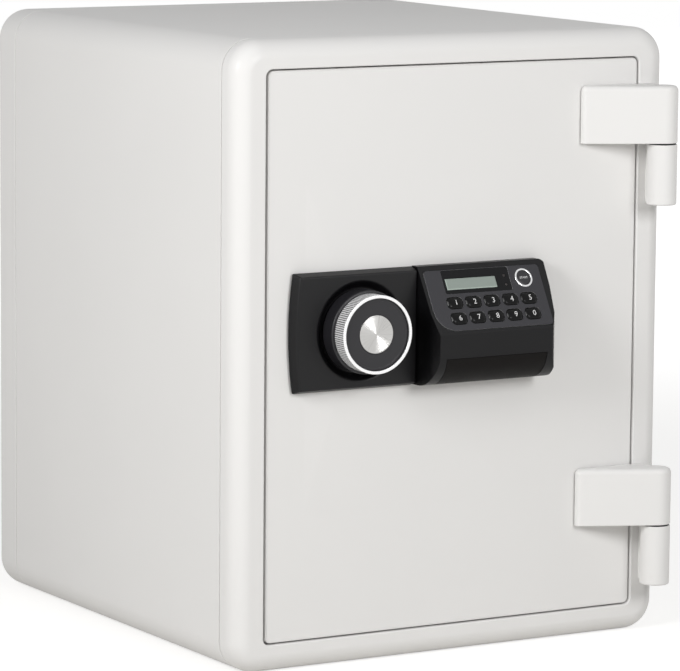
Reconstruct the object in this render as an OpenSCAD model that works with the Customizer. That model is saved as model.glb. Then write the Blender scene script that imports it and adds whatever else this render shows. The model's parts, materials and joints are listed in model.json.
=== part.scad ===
/* [Body] */
// Width of the body
body_w = 412; // [380:1:460]
// Height of the body
body_h = 512; // [460:1:640]
// Depth of the body
body_d = 436; // [380:1:560]
// Radius of the four corners seen from the front
corner_r = 26; // [21:1:34]
// Radius of the rounded front and back edges
edge_r = 16; // [8:1:20]
// Thickness of the outer steel sheet
sheet_t = 1.5; // [0.8:0.1:2.5]
// Depth of the front frame
frame_depth = 23.5; // [22.5:0.5:30]
// Depth of the back cover
back_depth = 40; // [24:1:60]
// Open seam between the frame, the wrap and the back cover
seam_gap = 0.3; // [0.1:0.1:1]
// Width of the frame on each side of the door
side_border = 27.7; // [26:0.1:34]
// Height of the frame above and below the door
end_border = 23.5; // [20:0.5:34]
// Corner radius of the door opening
opening_r = 6; // [3:0.5:12]

/* [Store room] */
// Wall at each side of the store room
wall_side = 56; // [50:1:70]
// Wall above and below the store room
wall_end = 60; // [50:1:75]
// Wall behind the store room
wall_back = 50; // [35:1:80]
// Thickness of the liner sheet
liner_t = 1.2; // [0.8:0.1:2]
// Height of the shelf above the store room floor
shelf_lift = 190; // [60:5:300]
// Thickness of the shelf sheet
shelf_t = 1.5; // [1:0.1:3]
// Width of a shelf rail
rail_w = 9; // [6:0.5:14]

/* [Door] */
// Gap round the door skin
door_gap = 1.2; // [1.2:0.1:2]
// Depth of the folded door skin
skin_depth = 22; // [18:0.5:22]
// Thickness of the door skin
skin_t = 1.5; // [1:0.1:2.5]
// Depth of the whole door
door_depth = 80; // [78:1:92]
// Step from the door opening in to the throat
jamb_step = 15.4; // [14:0.2:18]
// Wall of the throat ring
jamb_wall = 4; // [3:0.5:5]
// Thickness of the throat ring's flanges
flange_t = 3.5; // [2:0.5:5]
// Gap round the door plug on its hinge side, top and bottom
plug_gap = 2; // [1.5:0.1:4]
// Least gap at the free side of the plug while the door swings
swing_gap = 0.8; // [0.5:0.1:2]
// Wall of the plug
plug_wall = 2; // [1.5:0.1:3]
// Thickness of the door's back panel
panel_t = 2; // [1.5:0.1:3]
// Width of the door seal
seal_w = 9; // [6:0.5:10]

/* [Hinges] */
// Distance of the hinge axis inside the body's side
hinge_inset = 18; // [16:0.5:20]
// Distance of the hinge axis in front of the body's face
hinge_proud = 21.5; // [19:0.5:24]
// Radius of a hinge knuckle
knuckle_r = 12.5; // [11:0.5:14]
// Length of a leaf from the hinge axis to its free end
leaf_len = 67.5; // [56:0.5:90]
// Thickness of a leaf at its free end
leaf_end_t = 6.5; // [5:0.5:8]
// Height of a leaf
leaf_h = 48; // [40:0.5:60]
// Height of a fixed knuckle
knuckle_h = 50.5; // [42:0.5:56]
// Distance of the upper leaf below the top of the body
upper_leaf_drop = 46.4; // [40:0.1:80]
// Foot of the lower leaf above the base
lower_leaf_z = 96; // [80:0.5:120]
// Radius of a hinge pin
pin_r = 6; // [4:0.5:7]
// Thickness of a hinge washer
washer_t = 1; // [1:0.5:3]

/* [Lock] */
// Height of the lock above the middle of the body
lock_lift = 20; // [0:1:40]
// Knob axis, measured from the middle of the face
knob_x = -94.5; // [-100:0.5:-88]
// Knob radius over the metal ring
knob_r = 32; // [26:0.5:34]
// Front of the knob before the door
knob_front = 35.5; // [30:0.5:45]
// Depth of the knob's metal ring
knob_ring_depth = 15; // [10:0.5:18]
// Number of flutes round the metal ring
knob_flutes = 90; // [40:2:120]
// Radius of the spindle
spindle_r = 5; // [4:0.5:6]
// Radius of a live bolt
bolt_r = 10; // [8:0.5:11]
// Distance that the bolts travel
bolt_throw = 20; // [16:1:22]
// Distance between neighbouring bolts
bolt_pitch = 140; // [110:5:150]
// Angle that the knob turns
knob_turn = 60; // [50:5:70]
// Radius of a fixed bolt on the hinge side
dead_bolt_r = 8; // [6:0.5:9]
// Reach of a fixed bolt beyond the plug
dead_bolt_reach = 9; // [6:0.5:10]
// Travel of the lock plunger
plunger_throw = 6; // [4:0.5:7]

/* [Knob plate] */
// Height of the knob plate
plate_h = 98; // [92:1:110]
// Thickness of the knob plate
plate_t = 9; // [7:0.5:11]
// Left edge of the knob plate at its middle
plate_left = -158; // [-170:1:-145]
// Radius of its bowed left edge
plate_bow_r = 326; // [200:1:500]
// Slope width of its left flank
plate_flank = 4.2; // [2:0.2:6]
// Slope width of its top and bottom
plate_bevel = 3; // [1:0.5:5]
// Radius of the dish round the knob
dish_r = 40.5; // [37:0.5:42]
// Depth of the dish
dish_depth = 5; // [3:0.5:6]

/* [Keypad] */
// Left edge of the keypad housing
pad_left = -42; // [-46:0.5:-38]
// Right edge of the keypad housing
pad_right = 80; // [78:1:95]
// Front of the housing before the door
pad_front = 38.5; // [36:0.5:44]
// Wall of the housing
pad_wall = 2.2; // [1.6:0.2:3]
// Slope of the key face from upright
face_slope = 30; // [28:1:32]
// Front of the key face at its top
face_top_t = 9.5; // [8:0.5:11]
// Length of the key face down its slope
face_len = 55.3; // [53:0.1:57]
// Thickness of the key face plate
fascia_t = 2; // [1.5:0.1:2.5]
// Width of the groove beside the key face plate
groove_w = 0.8; // [0.4:0.1:1.2]
// Width of a key
key_w = 14.6; // [12:0.2:15]
// Height of a key
key_h = 9.8; // [8:0.2:10.5]
// Distance between neighbouring keys in a row
key_pitch = 17.8; // [17:0.1:18.5]
// Distance between the two rows of keys
key_row_pitch = 13.7; // [13:0.1:14.5]
// Height of a key above the face
key_lift = 1.4; // [1:0.1:2.5]
// Travel of a key
key_travel = 1; // [0.5:0.1:1]
// Radius of the start button
start_r = 6.6; // [5.5:0.1:7]
// Width of the ring round the start button
start_ring_w = 1.2; // [0.8:0.1:1.5]

/* [Hidden] */
$fn = 64;

// Finishes
white = "#e8e7e4";
black = "#2b2b2e";
steel = "#b9bcc0";
zinc = "#c9c6ba";
fill_grey = "#c4beb2";

// Clearances
snug = 0.2;      // between pieces that stay together
running = 0.08;  // between a shaft and its bore
moving = 0.3;    // between pieces that pass each other
cut = 1;         // how far a cutting shape runs past a face

// Door opening and throat
opening_w = body_w - 2 * side_border;
opening_h = body_h - 2 * end_border;
mid_z = body_h / 2;
lock_z = mid_z + lock_lift;
throat_w = opening_w - 2 * jamb_step;
throat_h = opening_h - 2 * jamb_step;
throat_r = 8;
jamb_front = frame_depth + flange_t;
jamb_room = 4;
jamb_back = door_depth + jamb_room;
liner_front = jamb_back + flange_t;
liner_back = body_d - wall_back;
cavity_w = body_w - 2 * wall_side;
cavity_h = body_h - 2 * wall_end;
cavity_r = 6;
wrap_front = frame_depth + seam_gap;
wrap_back = body_d - back_depth - seam_gap;
shelf_z = wall_end + shelf_lift;
rail_t = 1.5;
rail_inset = 20;
shelf_inset = 15;
shelf_lip = 12;
shelf_gap = 1;
fill_round = edge_r + 3;

// Hinges
hinge_x = body_w / 2 - hinge_inset;
upper_leaf_z = body_h - upper_leaf_drop - leaf_h;
leaf_lift = 0.5;
washer_gap = washer_t + moving;
leaf_feet = [lower_leaf_z, upper_leaf_z];
pin_grip = 36;
pin_short = 2;
washer_in = 1;
knuckle_edge = 2;
leaf_round = 3;
seat_inset = 3;
web_w = 10;
web_in = 2;
press = 0.02;    // between a pin and the bore that grips it
close = 0.05;    // between pieces that are glued or welded

// Door
free_gap = 0.4;
skin_reach = sqrt(pow(hinge_x + opening_w / 2 - free_gap, 2) + pow(hinge_proud, 2)
    - pow(hinge_proud + skin_depth, 2));
skin_x0 = max(door_gap - opening_w / 2, hinge_x - skin_reach);
skin_x1 = opening_w / 2 - door_gap;
skin_w = skin_x1 - skin_x0;
skin_mid = (skin_x0 + skin_x1) / 2;
skin_h = opening_h - 2 * door_gap;
skin_r = opening_r - door_gap;
swing_reach = sqrt(pow(hinge_x + throat_w / 2 - swing_gap, 2) + pow(hinge_proud + frame_depth, 2)
    - pow(hinge_proud + door_depth, 2));
plug_x0 = hinge_x - swing_reach;
plug_x1 = throat_w / 2 - plug_gap;
plug_w = plug_x1 - plug_x0;
plug_mid = (plug_x0 + plug_x1) / 2;
plug_h = throat_h - 2 * plug_gap;
plug_r = 6;
lip_w = 9;
seal_t = frame_depth - skin_depth - moving;
seal_inset = 3;
seal_inner_r = 2;
panel_front = door_depth - panel_t;
lock_space = 30;
fill_back = panel_front - lock_space;
lock_plate_t = 2;
lock_plate_back = fill_back + lock_plate_t;
boss_r = 5;
screw_r = 1.6;
screw_inset = 6.2;
screw_grip = 12;
screw_end = 18;
screw_head = [4, 2.2];

// Boltwork
tube_r = spindle_r + 2;
tube_front = 0.5;
bolt_zs = [lock_z - bolt_pitch, lock_z, lock_z + bolt_pitch];
bolt_room = 1.2;
bolt_depth = panel_front - bolt_r - bolt_room;
bolt_inset = 0.5;
bolt_tip = plug_x0 + bolt_inset;
tail_inset = 13.5;
bolt_tail = knob_x - tail_inset;
crank_r = bolt_throw / (2 * sin(knob_turn / 2));
crank_pin_r = 4;
crank_pin_out = 0.5;
cam_rim = 2;
cam_r = crank_r + crank_pin_r + cam_rim;
cam_gap = 0.4;
cam_front = lock_plate_back + cam_gap;
cam_t = 4.6;
plate_gap = 2;
plate_front = cam_front + cam_t + plate_gap;
bolt_plate_t = 3;
bolt_plate_w = 42;
bolt_plate_end = bolt_tail + bolt_plate_w;
slot_x = knob_x + bolt_throw / 2;
tail_z = lock_z - cam_r;
tail_h = 34;
tail_lap = 12;
tail_front = plate_front + bolt_plate_t + close;
rivet_r = 2;
rivet_head = 1;
rivet_z = [tail_z + tail_h / 4, tail_z + tail_h * 3 / 4];
tail_reach = 66;
tail_end = slot_x + tail_reach;
guide_w = 13;
guide_rim = 6;
guide_z = bolt_r + guide_rim;
plug_low = mid_z - plug_h / 2;
guides_end = bolt_zs[2] + guide_z;
screw_high = (guides_end + mid_z + plug_h / 2 - plug_wall) / 2;
screw_z = [plug_low + screw_end, lock_z - bolt_pitch / 2, screw_high];
keeper_wall = 2;
keeper_deep = 13;
keeper_room = 2;
keeper_space = bolt_r + keeper_room;
dead_space = dead_bolt_r + keeper_room;
dead_sweep = 7.5;
dead_flange_t = 5;
dead_flange = 3;
bolt_chamfer = 2;
end_flange_t = 4;
end_margin = 8;

// Solenoid
plunger_r = 4;
plunger_reach = 34.5;
plunger_x = slot_x + plunger_reach;
plunger_depth = tail_front + bolt_plate_t / 2;
plunger_drop = 3;
plunger_top = tail_z - plunger_drop;
plunger_out = 11;
case_top = plunger_top - plunger_out;
case_h = 40;
case_half = 14;
case_cover = 8;
case_floor = 6;
plunger_room = 2;
plunger_foot = case_top - case_h + case_floor + plunger_room;
spring_len = 5;
spring_in = 0.4;
collar_z = case_top + spring_len;
collar_r = 6;
collar_t = 2;
cable_r = 2;
cable_room = 1;
cable_reach = 26;
cable_x = plunger_x + cable_reach;
cable_lift = 4;
cable_depth = lock_plate_back + cable_lift;
cable_bend = 8;
cable_drop = 20;
cable_z0 = case_top - cable_drop;
cable_rise = 9;
cable_z1 = lock_z + cable_rise;
notch_gap = 0.5;

// Knob
dish_floor = plate_t - dish_depth;
skirt_rim = 2;
skirt_r = knob_r + skirt_rim;
skirt_gap = 1.5;
skirt_back = dish_floor + skirt_gap;
ring_back = knob_front - knob_ring_depth;
ring_wall = 2.5;
face_recess = 2.3;
cap_r = 15.5;
cap_t = 1.8;
flute_depth = 0.6;
flute_sunk = 0.1;
ring_lip = 1.8;
skirt_edge = 1;
spindle_end = 5.5;
plate_bow_x = plate_left + plate_bow_r;

// Keypad housing, with the key face as a sloped plane
pad_top = lock_z + plate_h / 2;
pad_rise = 1;
pad_bottom = pad_top - plate_h + pad_rise;
pad_reach = 200;
face_drop = 3;
face_top_z = pad_top - face_drop;
under_r = 28;
under_t = pad_front - under_r;
under_z = pad_bottom + under_r;
arc_steps = 14;
pad_corner_r = 5;
left_turn = [[1.2, 9.5], [4.5, 0]];          // steps in, and back from the front
right_turn = [[9, 0], [3.7, 6.5], [1, 18.5]];
face_in = [3.5, 7, 1];                       // from the left, the right and the top
face_left = pad_left + face_in[0];
face_right = pad_right - face_in[1];
face_corner_r = 19;
face_round = 3;
ledge = 4.5;
ledge_top = 3;
fascia_gap = 0.15;
window_x = 10.7;
window_w = 64;
window_h = 20.5;
window_s = 11.85;
window_t = 1;
window_r = 1.5;
display_x = 5.1;
display_w = 48.3;
display_h = 9.9;
display_s = 13.75;
lamp_x = 38;
lamp_s = [9, 17];
lamp_r = 1.2;
start_x = 56;
start_s = 12.3;
start_lift = 0.6;
start_seat = 1;
start_travel = 0.8;
first_key_x = -15.6;
first_key_s = 30.4;
key_r = 3.6;
key_edge = 0.5;
key_hole_gap = 0.5;
key_foot = 1;
key_foot_t = 1.2;
foot_gap = 0.1;
foot_top = -fascia_t - foot_gap;
foot_bottom = foot_top - key_foot_t;
mat_top = foot_bottom - key_travel - snug;
mat_t = 1.5;
board_top = mat_top - mat_t;
board_t = 1.6;
slope_wall = -mat_top - moving;
board_in = [5.5, 13];
board_x0 = pad_left + board_in[0];
board_x1 = pad_right - board_in[1];
board_s0 = 5.5;
board_s1 = 49.5;

// Batteries and their cover
cell_r = 7.1;
cell_len = 50;
cell_x0 = -33;
nub = [2.7, 1.2];
cell_t = 11.2;
cell_rise = [11.6, 26.4];
cell_zs = [pad_bottom + cell_rise[0], pad_bottom + cell_rise[1]];
tray_t = 1.5;
tray_in = 0.5;
cover_in = [11, 14];
cover_x0 = pad_left + cover_in[0];
cover_x1 = pad_right - cover_in[1];
cover_a0 = 8;
cover_a1 = 82;
cover_gap_a = 0.6;
rest_t = 1.4;
rest_w = 1.6;
rest_a = 2;

// A rectangle with four round corners
module rounded_rect(w, h, r) {
    square([w - 2 * r, h], center = true);
    square([w, h - 2 * r], center = true);
    for (x = [-1, 1], y = [-1, 1])
        translate([x * (w / 2 - r), y * (h / 2 - r)])
            circle(r);
}

// Depth counts from the front face of the body, inwards
module at_front() {
    translate([0, -body_d / 2, 0])
        children();
}

// Carries a shape drawn across the face from one depth to another
module through_depth(d0, d1) {
    translate([0, d1, 0])
        rotate([90, 0, 0])
            linear_extrude(d1 - d0)
                children();
}

// Carries a shape drawn in depth and height along the width
module along_width(x0, x1) {
    translate([x0, 0, 0])
        rotate([90, 0, 90])
            linear_extrude(x1 - x0)
                children();
}

// A round bar that runs inwards from depth d0 to d1
module bar_in(x, z, r, d0, d1) {
    translate([x, d0, z])
        rotate([-90, 0, 0])
            cylinder(r = r, h = d1 - d0);
}

// A round bar that runs along the width from x0 to x1
module bar_across(x0, x1, depth, z, r) {
    translate([x0, depth, z])
        rotate([0, 90, 0])
            cylinder(r = r, h = x1 - x0);
}

// A block with round corners and one end whose edge is rounded all the way round
module edged_block(w, h, r, f, d) {
    for (x = [-1, 1], z = [-1, 1])
        translate([x * (w / 2 - r), 0, z * (h / 2 - r)])
            rotate([-90, 0, 0])
                rotate_extrude() {
                    square([r - f, d]);
                    translate([0, f])
                        square([r, d - f]);
                    intersection() {
                        translate([r - f, f])
                            circle(f);
                        square([r, d]);
                    }
                }
    along_width(-w / 2 + r, w / 2 - r)
        edged_side(h, f, d);
    rotate([0, 90, 0])
        along_width(-h / 2 + r, h / 2 - r)
            edged_side(w, f, d);
}

// The side view of an edged block
module edged_side(h, f, d) {
    translate([0, f - h / 2])
        square([d, h - 2 * f]);
    translate([f, -h / 2])
        square([d - f, h]);
    intersection() {
        for (s = [-1, 1])
            translate([f, s * (h / 2 - f)])
                circle(f);
        translate([0, -h / 2])
            square([d, h]);
    }
}

// The outline of the body, drawn in by e
module body_outline(e) {
    translate([0, mid_z])
        rounded_rect(body_w - 2 * e, body_h - 2 * e, corner_r - e);
}

module opening_outline() {
    translate([0, mid_z])
        rounded_rect(opening_w, opening_h, opening_r);
}

module throat_outline(e) {
    translate([0, mid_z])
        rounded_rect(throat_w + 2 * e, throat_h + 2 * e, throat_r + e);
}

module cavity_outline(e) {
    translate([0, mid_z])
        rounded_rect(cavity_w + 2 * e, cavity_h + 2 * e, cavity_r + e);
}

module plug_outline(e) {
    translate([plug_mid, mid_z])
        rounded_rect(plug_w - 2 * e, plug_h - 2 * e, max(plug_r - e, 1));
}

module skin_outline(e) {
    translate([skin_mid, mid_z])
        rounded_rect(skin_w - 2 * e, skin_h - 2 * e, skin_r - e);
}

module front_frame() {
    color(white)
        at_front()
            difference() {
                translate([0, 0, mid_z])
                    edged_block(body_w, body_h, corner_r, edge_r, frame_depth);
                through_depth(-cut, frame_depth + cut)
                    opening_outline();
            }
}

module body_wrap() {
    color(white)
        at_front()
            through_depth(wrap_front, wrap_back)
                difference() {
                    body_outline(0);
                    body_outline(sheet_t);
                }
}

module back_cover() {
    color(white)
        at_front()
            translate([0, body_d, mid_z])
                mirror([0, 1, 0])
                    difference() {
                        edged_block(body_w, body_h, corner_r, edge_r, back_depth);
                        translate([0, sheet_t, 0])
                            edged_block(body_w - 2 * sheet_t, body_h - 2 * sheet_t,
                                corner_r - sheet_t, edge_r - sheet_t, back_depth);
                    }
}

module fire_fill() {
    skin_gap = sheet_t + snug;
    core_back = body_d - fill_round;
    color(fill_grey)
        at_front()
            difference() {
                union() {
                    through_depth(jamb_front + snug, core_back)
                        body_outline(skin_gap);
                    through_depth(core_back - cut, body_d - skin_gap)
                        body_outline(fill_round);
                }
                through_depth(jamb_front - cut, liner_front + snug)
                    throat_outline(jamb_wall + snug);
                through_depth(liner_front - cut, liner_back + liner_t + snug)
                    cavity_outline(liner_t + snug);
                keeper_blocks(snug);
            }
}

module inner_liner() {
    color(white)
        at_front()
            difference() {
                through_depth(liner_front, liner_back + liner_t)
                    cavity_outline(liner_t);
                through_depth(liner_front - cut, liner_back)
                    cavity_outline(0);
            }
}

// The outsides of the pockets that take the bolts, grown by e
module keeper_blocks(e) {
    x0 = throat_w / 2 + jamb_wall;
    live = keeper_space + keeper_wall + e;
    dead = dead_space + keeper_wall + e;
    for (z = bolt_zs) {
        translate([-x0 - keeper_deep - e, bolt_depth - live, z - live])
            cube([keeper_deep + 2 * e, 2 * live, 2 * live]);
        translate([x0 - e, bolt_depth - dead - dead_sweep, z - dead])
            cube([keeper_deep + 2 * e, 2 * dead + dead_sweep, 2 * dead]);
    }
}

// The spaces that the bolts move in, from the throat outwards
module bolt_ways(deep) {
    x0 = throat_w / 2;
    for (z = bolt_zs) {
        translate([-x0 - deep, bolt_depth - keeper_space, z - keeper_space])
            cube([deep + cut, 2 * keeper_space, 2 * keeper_space]);
        translate([x0 - cut, bolt_depth - dead_space - dead_sweep, z - dead_space])
            cube([deep + cut, 2 * dead_space + dead_sweep, 2 * dead_space]);
    }
}

module bolt_keepers() {
    color(steel)
        at_front()
            difference() {
                keeper_blocks(0);
                bolt_ways(jamb_wall + keeper_deep - keeper_wall);
            }
}

// The throat ring is welded from a front flange, a throat and a back ring
module door_jamb() {
    color(white)
        at_front()
            difference() {
                union() {
                    through_depth(frame_depth, jamb_front)
                        difference() {
                            body_outline(sheet_t + snug);
                            throat_outline(jamb_wall + close);
                        }
                    through_depth(frame_depth, jamb_back)
                        difference() {
                            throat_outline(jamb_wall);
                            throat_outline(0);
                        }
                    through_depth(jamb_back + close, liner_front)
                        difference() {
                            throat_outline(jamb_wall);
                            cavity_outline(0);
                        }
                }
                bolt_ways(jamb_wall + cut);
            }
}

module shelf_rails() {
    color(white)
        at_front()
            for (s = [-1, 1])
                translate([s * (cavity_w - rail_w) / 2, 0, 0])
                    along_width(-rail_w / 2, rail_w / 2)
                        translate([liner_front + rail_inset, shelf_z - rail_t])
                            square([liner_back - liner_front - 2 * rail_inset, rail_t]);
}

module shelf() {
    depth = liner_back - liner_front - 2 * shelf_inset;
    color(white)
        at_front()
            along_width(shelf_gap - cavity_w / 2, cavity_w / 2 - shelf_gap)
                translate([liner_front + shelf_inset, shelf_z]) {
                    square([depth, shelf_t]);
                    square([shelf_t, shelf_lip]);
                    translate([depth - shelf_t, 0])
                        square([shelf_t, shelf_lip]);
                }
}

// A knuckle on a web that is welded to the frame's face, bored from above for its pin
module fixed_knuckle(foot) {
    edge = knuckle_edge;
    top = foot - washer_gap;
    color(white)
        at_front()
            translate([hinge_x, -hinge_proud, top - knuckle_h])
                difference() {
                    union() {
                        rotate_extrude() {
                            translate([0, edge])
                                square([knuckle_r, knuckle_h - edge]);
                            square([knuckle_r - edge, knuckle_h]);
                            intersection() {
                                translate([knuckle_r - edge, edge])
                                    circle(edge);
                                square([knuckle_r, knuckle_h]);
                            }
                        }
                        translate([-web_in, 0, edge])
                            cube([web_w, hinge_proud - close, knuckle_h - edge]);
                    }
                    translate([0, 0, knuckle_h - pin_grip])
                        cylinder(r = pin_r + press, h = pin_grip + cut);
                }
}

module hinge_pins() {
    color(steel)
        at_front()
            for (foot = leaf_feet)
                translate([hinge_x, -hinge_proud, foot - washer_gap - pin_grip])
                    cylinder(r = pin_r, h = 2 * pin_grip + washer_gap - pin_short);
}

module hinge_washers() {
    color("#3a3a3c")
        at_front()
            for (foot = leaf_feet)
                translate([hinge_x, -hinge_proud, foot - washer_gap])
                    difference() {
                        cylinder(r = knuckle_r - washer_in, h = washer_t);
                        translate([0, 0, -cut])
                            cylinder(r = pin_r + moving, h = washer_t + 2 * cut);
                    }
}

// A leaf and its knuckle seen from above: a wedge that rises from its free end to the knuckle, with
// its front face tangent to both round ends, and lifted clear of the frame beyond the door skin
module leaf_outline() {
    x0 = hinge_x - leaf_len;
    seat_end = skin_x1 - seat_inset;
    end_x = x0 + leaf_round;
    end_y = leaf_round - leaf_end_t;
    rise = -hinge_proud - end_y;
    run = hinge_x - end_x;
    slope = atan2(-rise, run) + asin((knuckle_r - leaf_round) / norm([run, rise]));
    out = [-sin(slope), -cos(slope)];
    translate([hinge_x, -hinge_proud])
        circle(knuckle_r);
    translate([end_x, end_y])
        circle(leaf_round);
    polygon([
        [end_x, end_y] + leaf_round * out,
        [hinge_x, -hinge_proud] + knuckle_r * out,
        [hinge_x, -hinge_proud],
        [hinge_x, -leaf_lift],
        [seat_end, -leaf_lift],
        [seat_end, 0],
        [x0, 0],
        [x0, end_y]
    ]);
}

module hinge_leaf(foot) {
    color(white)
        at_front()
            translate([0, 0, foot])
                difference() {
                    linear_extrude(leaf_h)
                        leaf_outline();
                    translate([hinge_x, -hinge_proud, -cut])
                        cylinder(r = pin_r + running, h = pin_grip + cut);
                }
}

module door_skin() {
    color(white)
        at_front()
            difference() {
                through_depth(0, skin_depth)
                    skin_outline(0);
                through_depth(skin_t, skin_depth - skin_t)
                    skin_outline(skin_t);
                through_depth(skin_t, skin_depth + cut)
                    plug_outline(lip_w);
                bar_in(knob_x, lock_z, tube_r + snug, -cut, skin_t + cut);
                bar_in(cable_x, cable_z1, cable_r + cable_room, -cut, skin_t + cut);
            }
}

module door_fill() {
    color(fill_grey)
        at_front()
            difference() {
                union() {
                    through_depth(skin_t + snug, skin_depth - skin_t - snug)
                        skin_outline(skin_t + snug);
                    through_depth(skin_t + snug, fill_back)
                        plug_outline(lip_w + snug);
                    through_depth(skin_depth + snug, fill_back)
                        plug_outline(plug_wall + snug);
                }
                bar_in(knob_x, lock_z, tube_r + close, 0, fill_back + cut);
                bar_in(cable_x, cable_z1, cable_r + cable_room, 0, fill_back + cut);
            }
}

module door_plug() {
    color(white)
        at_front()
            difference() {
                union() {
                    through_depth(skin_depth, panel_front)
                        difference() {
                            plug_outline(0);
                            plug_outline(plug_wall);
                        }
                    at_screws()
                        bar_in(0, 0, boss_r, lock_plate_back, panel_front);
                }
                at_screws()
                    bar_in(0, 0, screw_r + close, panel_front - screw_grip - cut, panel_front + cut);
                for (z = bolt_zs) {
                    bar_across(plug_x0 - cut, plug_x0 + plug_wall + cut, bolt_depth, z,
                        bolt_r + moving);
                    bar_across(plug_x1 - plug_wall - cut, plug_x1 + cut, bolt_depth, z,
                        dead_bolt_r + close);
                }
            }
}

// The places of the screws that hold the back panel
module at_screws() {
    for (x = [plug_x0 + screw_inset, plug_x1 - screw_inset], z = screw_z)
        translate([x, 0, z])
            children();
}

module door_back_panel() {
    color("#dcdad5")
        at_front()
            difference() {
                through_depth(panel_front, door_depth)
                    plug_outline(0);
                at_screws()
                    bar_in(0, 0, screw_r + moving, panel_front - cut, door_depth + cut);
            }
}

module panel_screws() {
    color(steel)
        at_front()
            at_screws() {
                bar_in(0, 0, screw_r, panel_front - screw_grip, door_depth + screw_head[1] / 2);
                bar_in(0, 0, screw_head[0], door_depth, door_depth + screw_head[1]);
            }
}

module door_seal() {
    seal_out_w = opening_w - 2 * seal_inset;
    seal_out_h = opening_h - 2 * seal_inset;
    color("#3a3a3c")
        at_front()
            through_depth(skin_depth, skin_depth + seal_t)
                translate([0, mid_z])
                    difference() {
                        rounded_rect(seal_out_w, seal_out_h, skin_r);
                        rounded_rect(seal_out_w - 2 * seal_w, seal_out_h - 2 * seal_w, seal_inner_r);
                    }
}

module fixed_bolts() {
    color(steel)
        at_front()
            for (z = bolt_zs) {
                root = plug_x1 - plug_wall;
                bar_across(root - cut, plug_x1 + dead_bolt_reach, bolt_depth, z, dead_bolt_r);
                bar_across(root - dead_flange_t, root, bolt_depth, z, dead_bolt_r + dead_flange);
            }
}

module lock_plate() {
    color(steel)
        at_front()
            difference() {
                through_depth(fill_back, lock_plate_back)
                    plug_outline(plug_wall + snug);
                bar_in(knob_x, lock_z, tube_r + close, fill_back - cut, lock_plate_back + cut);
                bar_in(cable_x, cable_z1, cable_r + 2 * cable_room, fill_back - cut, lock_plate_back + cut);
            }
}

module bolt_guides() {
    x0 = plug_x0 + plug_wall + snug;
    color(zinc)
        at_front()
            for (z = bolt_zs)
                difference() {
                    translate([x0, lock_plate_back, z - guide_z])
                        cube([guide_w, panel_front - snug - lock_plate_back, 2 * guide_z]);
                    bar_across(x0 - cut, x0 + guide_w + cut, bolt_depth, z, bolt_r + running);
                }
}

module spindle_tube() {
    color(steel)
        at_front()
            difference() {
                bar_in(knob_x, lock_z, tube_r, tube_front, lock_plate_back);
                bar_in(knob_x, lock_z, spindle_r + running, -cut, lock_plate_back + cut);
            }
}

module solenoid_case() {
    color(zinc)
        at_front()
            difference() {
                translate([plunger_x - case_half, lock_plate_back, case_top - case_h])
                    cube([2 * case_half, plunger_depth - lock_plate_back + case_cover, case_h]);
                translate([plunger_x, plunger_depth, case_top - case_h + case_floor])
                    cylinder(r = plunger_r + running, h = case_h);
            }
}

module lock_plunger() {
    color(steel)
        at_front()
            translate([plunger_x, plunger_depth, 0]) {
                translate([0, 0, plunger_foot])
                    cylinder(r = plunger_r, h = plunger_top - plunger_foot);
                translate([0, 0, collar_z])
                    cylinder(r = collar_r, h = collar_t);
            }
}

module plunger_spring() {
    color(steel)
        at_front()
            translate([plunger_x, plunger_depth, case_top])
                difference() {
                    cylinder(r = collar_r - spring_in, h = collar_z - case_top);
                    translate([0, 0, -cut])
                        cylinder(r = plunger_r + moving, h = collar_z - case_top + 2 * cut);
                }
}

// The thin lead from the solenoid up the lock plate and out through the door
module lock_cable() {
    case_side = plunger_x + case_half;
    board_face = face_t(cable_z1 + cable_r, board_top - board_t);
    color("#c23b2e")
        at_front() {
            bar_across(case_side, cable_x - cable_bend, cable_depth, cable_z0, cable_r);
            translate([cable_x - cable_bend, cable_depth, cable_z0 + cable_bend])
                rotate([90, 0, 0])
                    rotate([0, 0, -90])
                        quarter_bend();
            translate([cable_x, cable_depth, cable_z0 + cable_bend])
                cylinder(r = cable_r, h = cable_z1 - cable_z0 - 2 * cable_bend);
            translate([cable_x, cable_depth - cable_bend, cable_z1 - cable_bend])
                rotate([0, -90, 0])
                    quarter_bend();
            bar_in(cable_x, cable_z1, cable_r, -board_face, cable_depth - cable_bend);
        }
}

// A quarter turn of cable round the origin, from the first axis to the second
module quarter_bend() {
    rotate_extrude(angle = 90)
        translate([cable_bend, 0])
            circle(cable_r);
}

module lock_cam() {
    pin_z = lock_z - crank_r * cos(knob_turn / 2);
    color(zinc)
        at_front() {
            difference() {
                bar_in(knob_x, lock_z, cam_r, cam_front, cam_front + cam_t);
                bar_in(knob_x, lock_z, spindle_r + press, cam_front - cut, cam_front + cam_t + cut);
            }
            bar_in(slot_x, pin_z, crank_pin_r, cam_front + cam_t - cut,
                plate_front + bolt_plate_t + crank_pin_out);
        }
}

module spindle() {
    color(steel)
        at_front()
            bar_in(knob_x, lock_z, spindle_r, spindle_end - knob_front, cam_front + cam_t);
}

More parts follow.
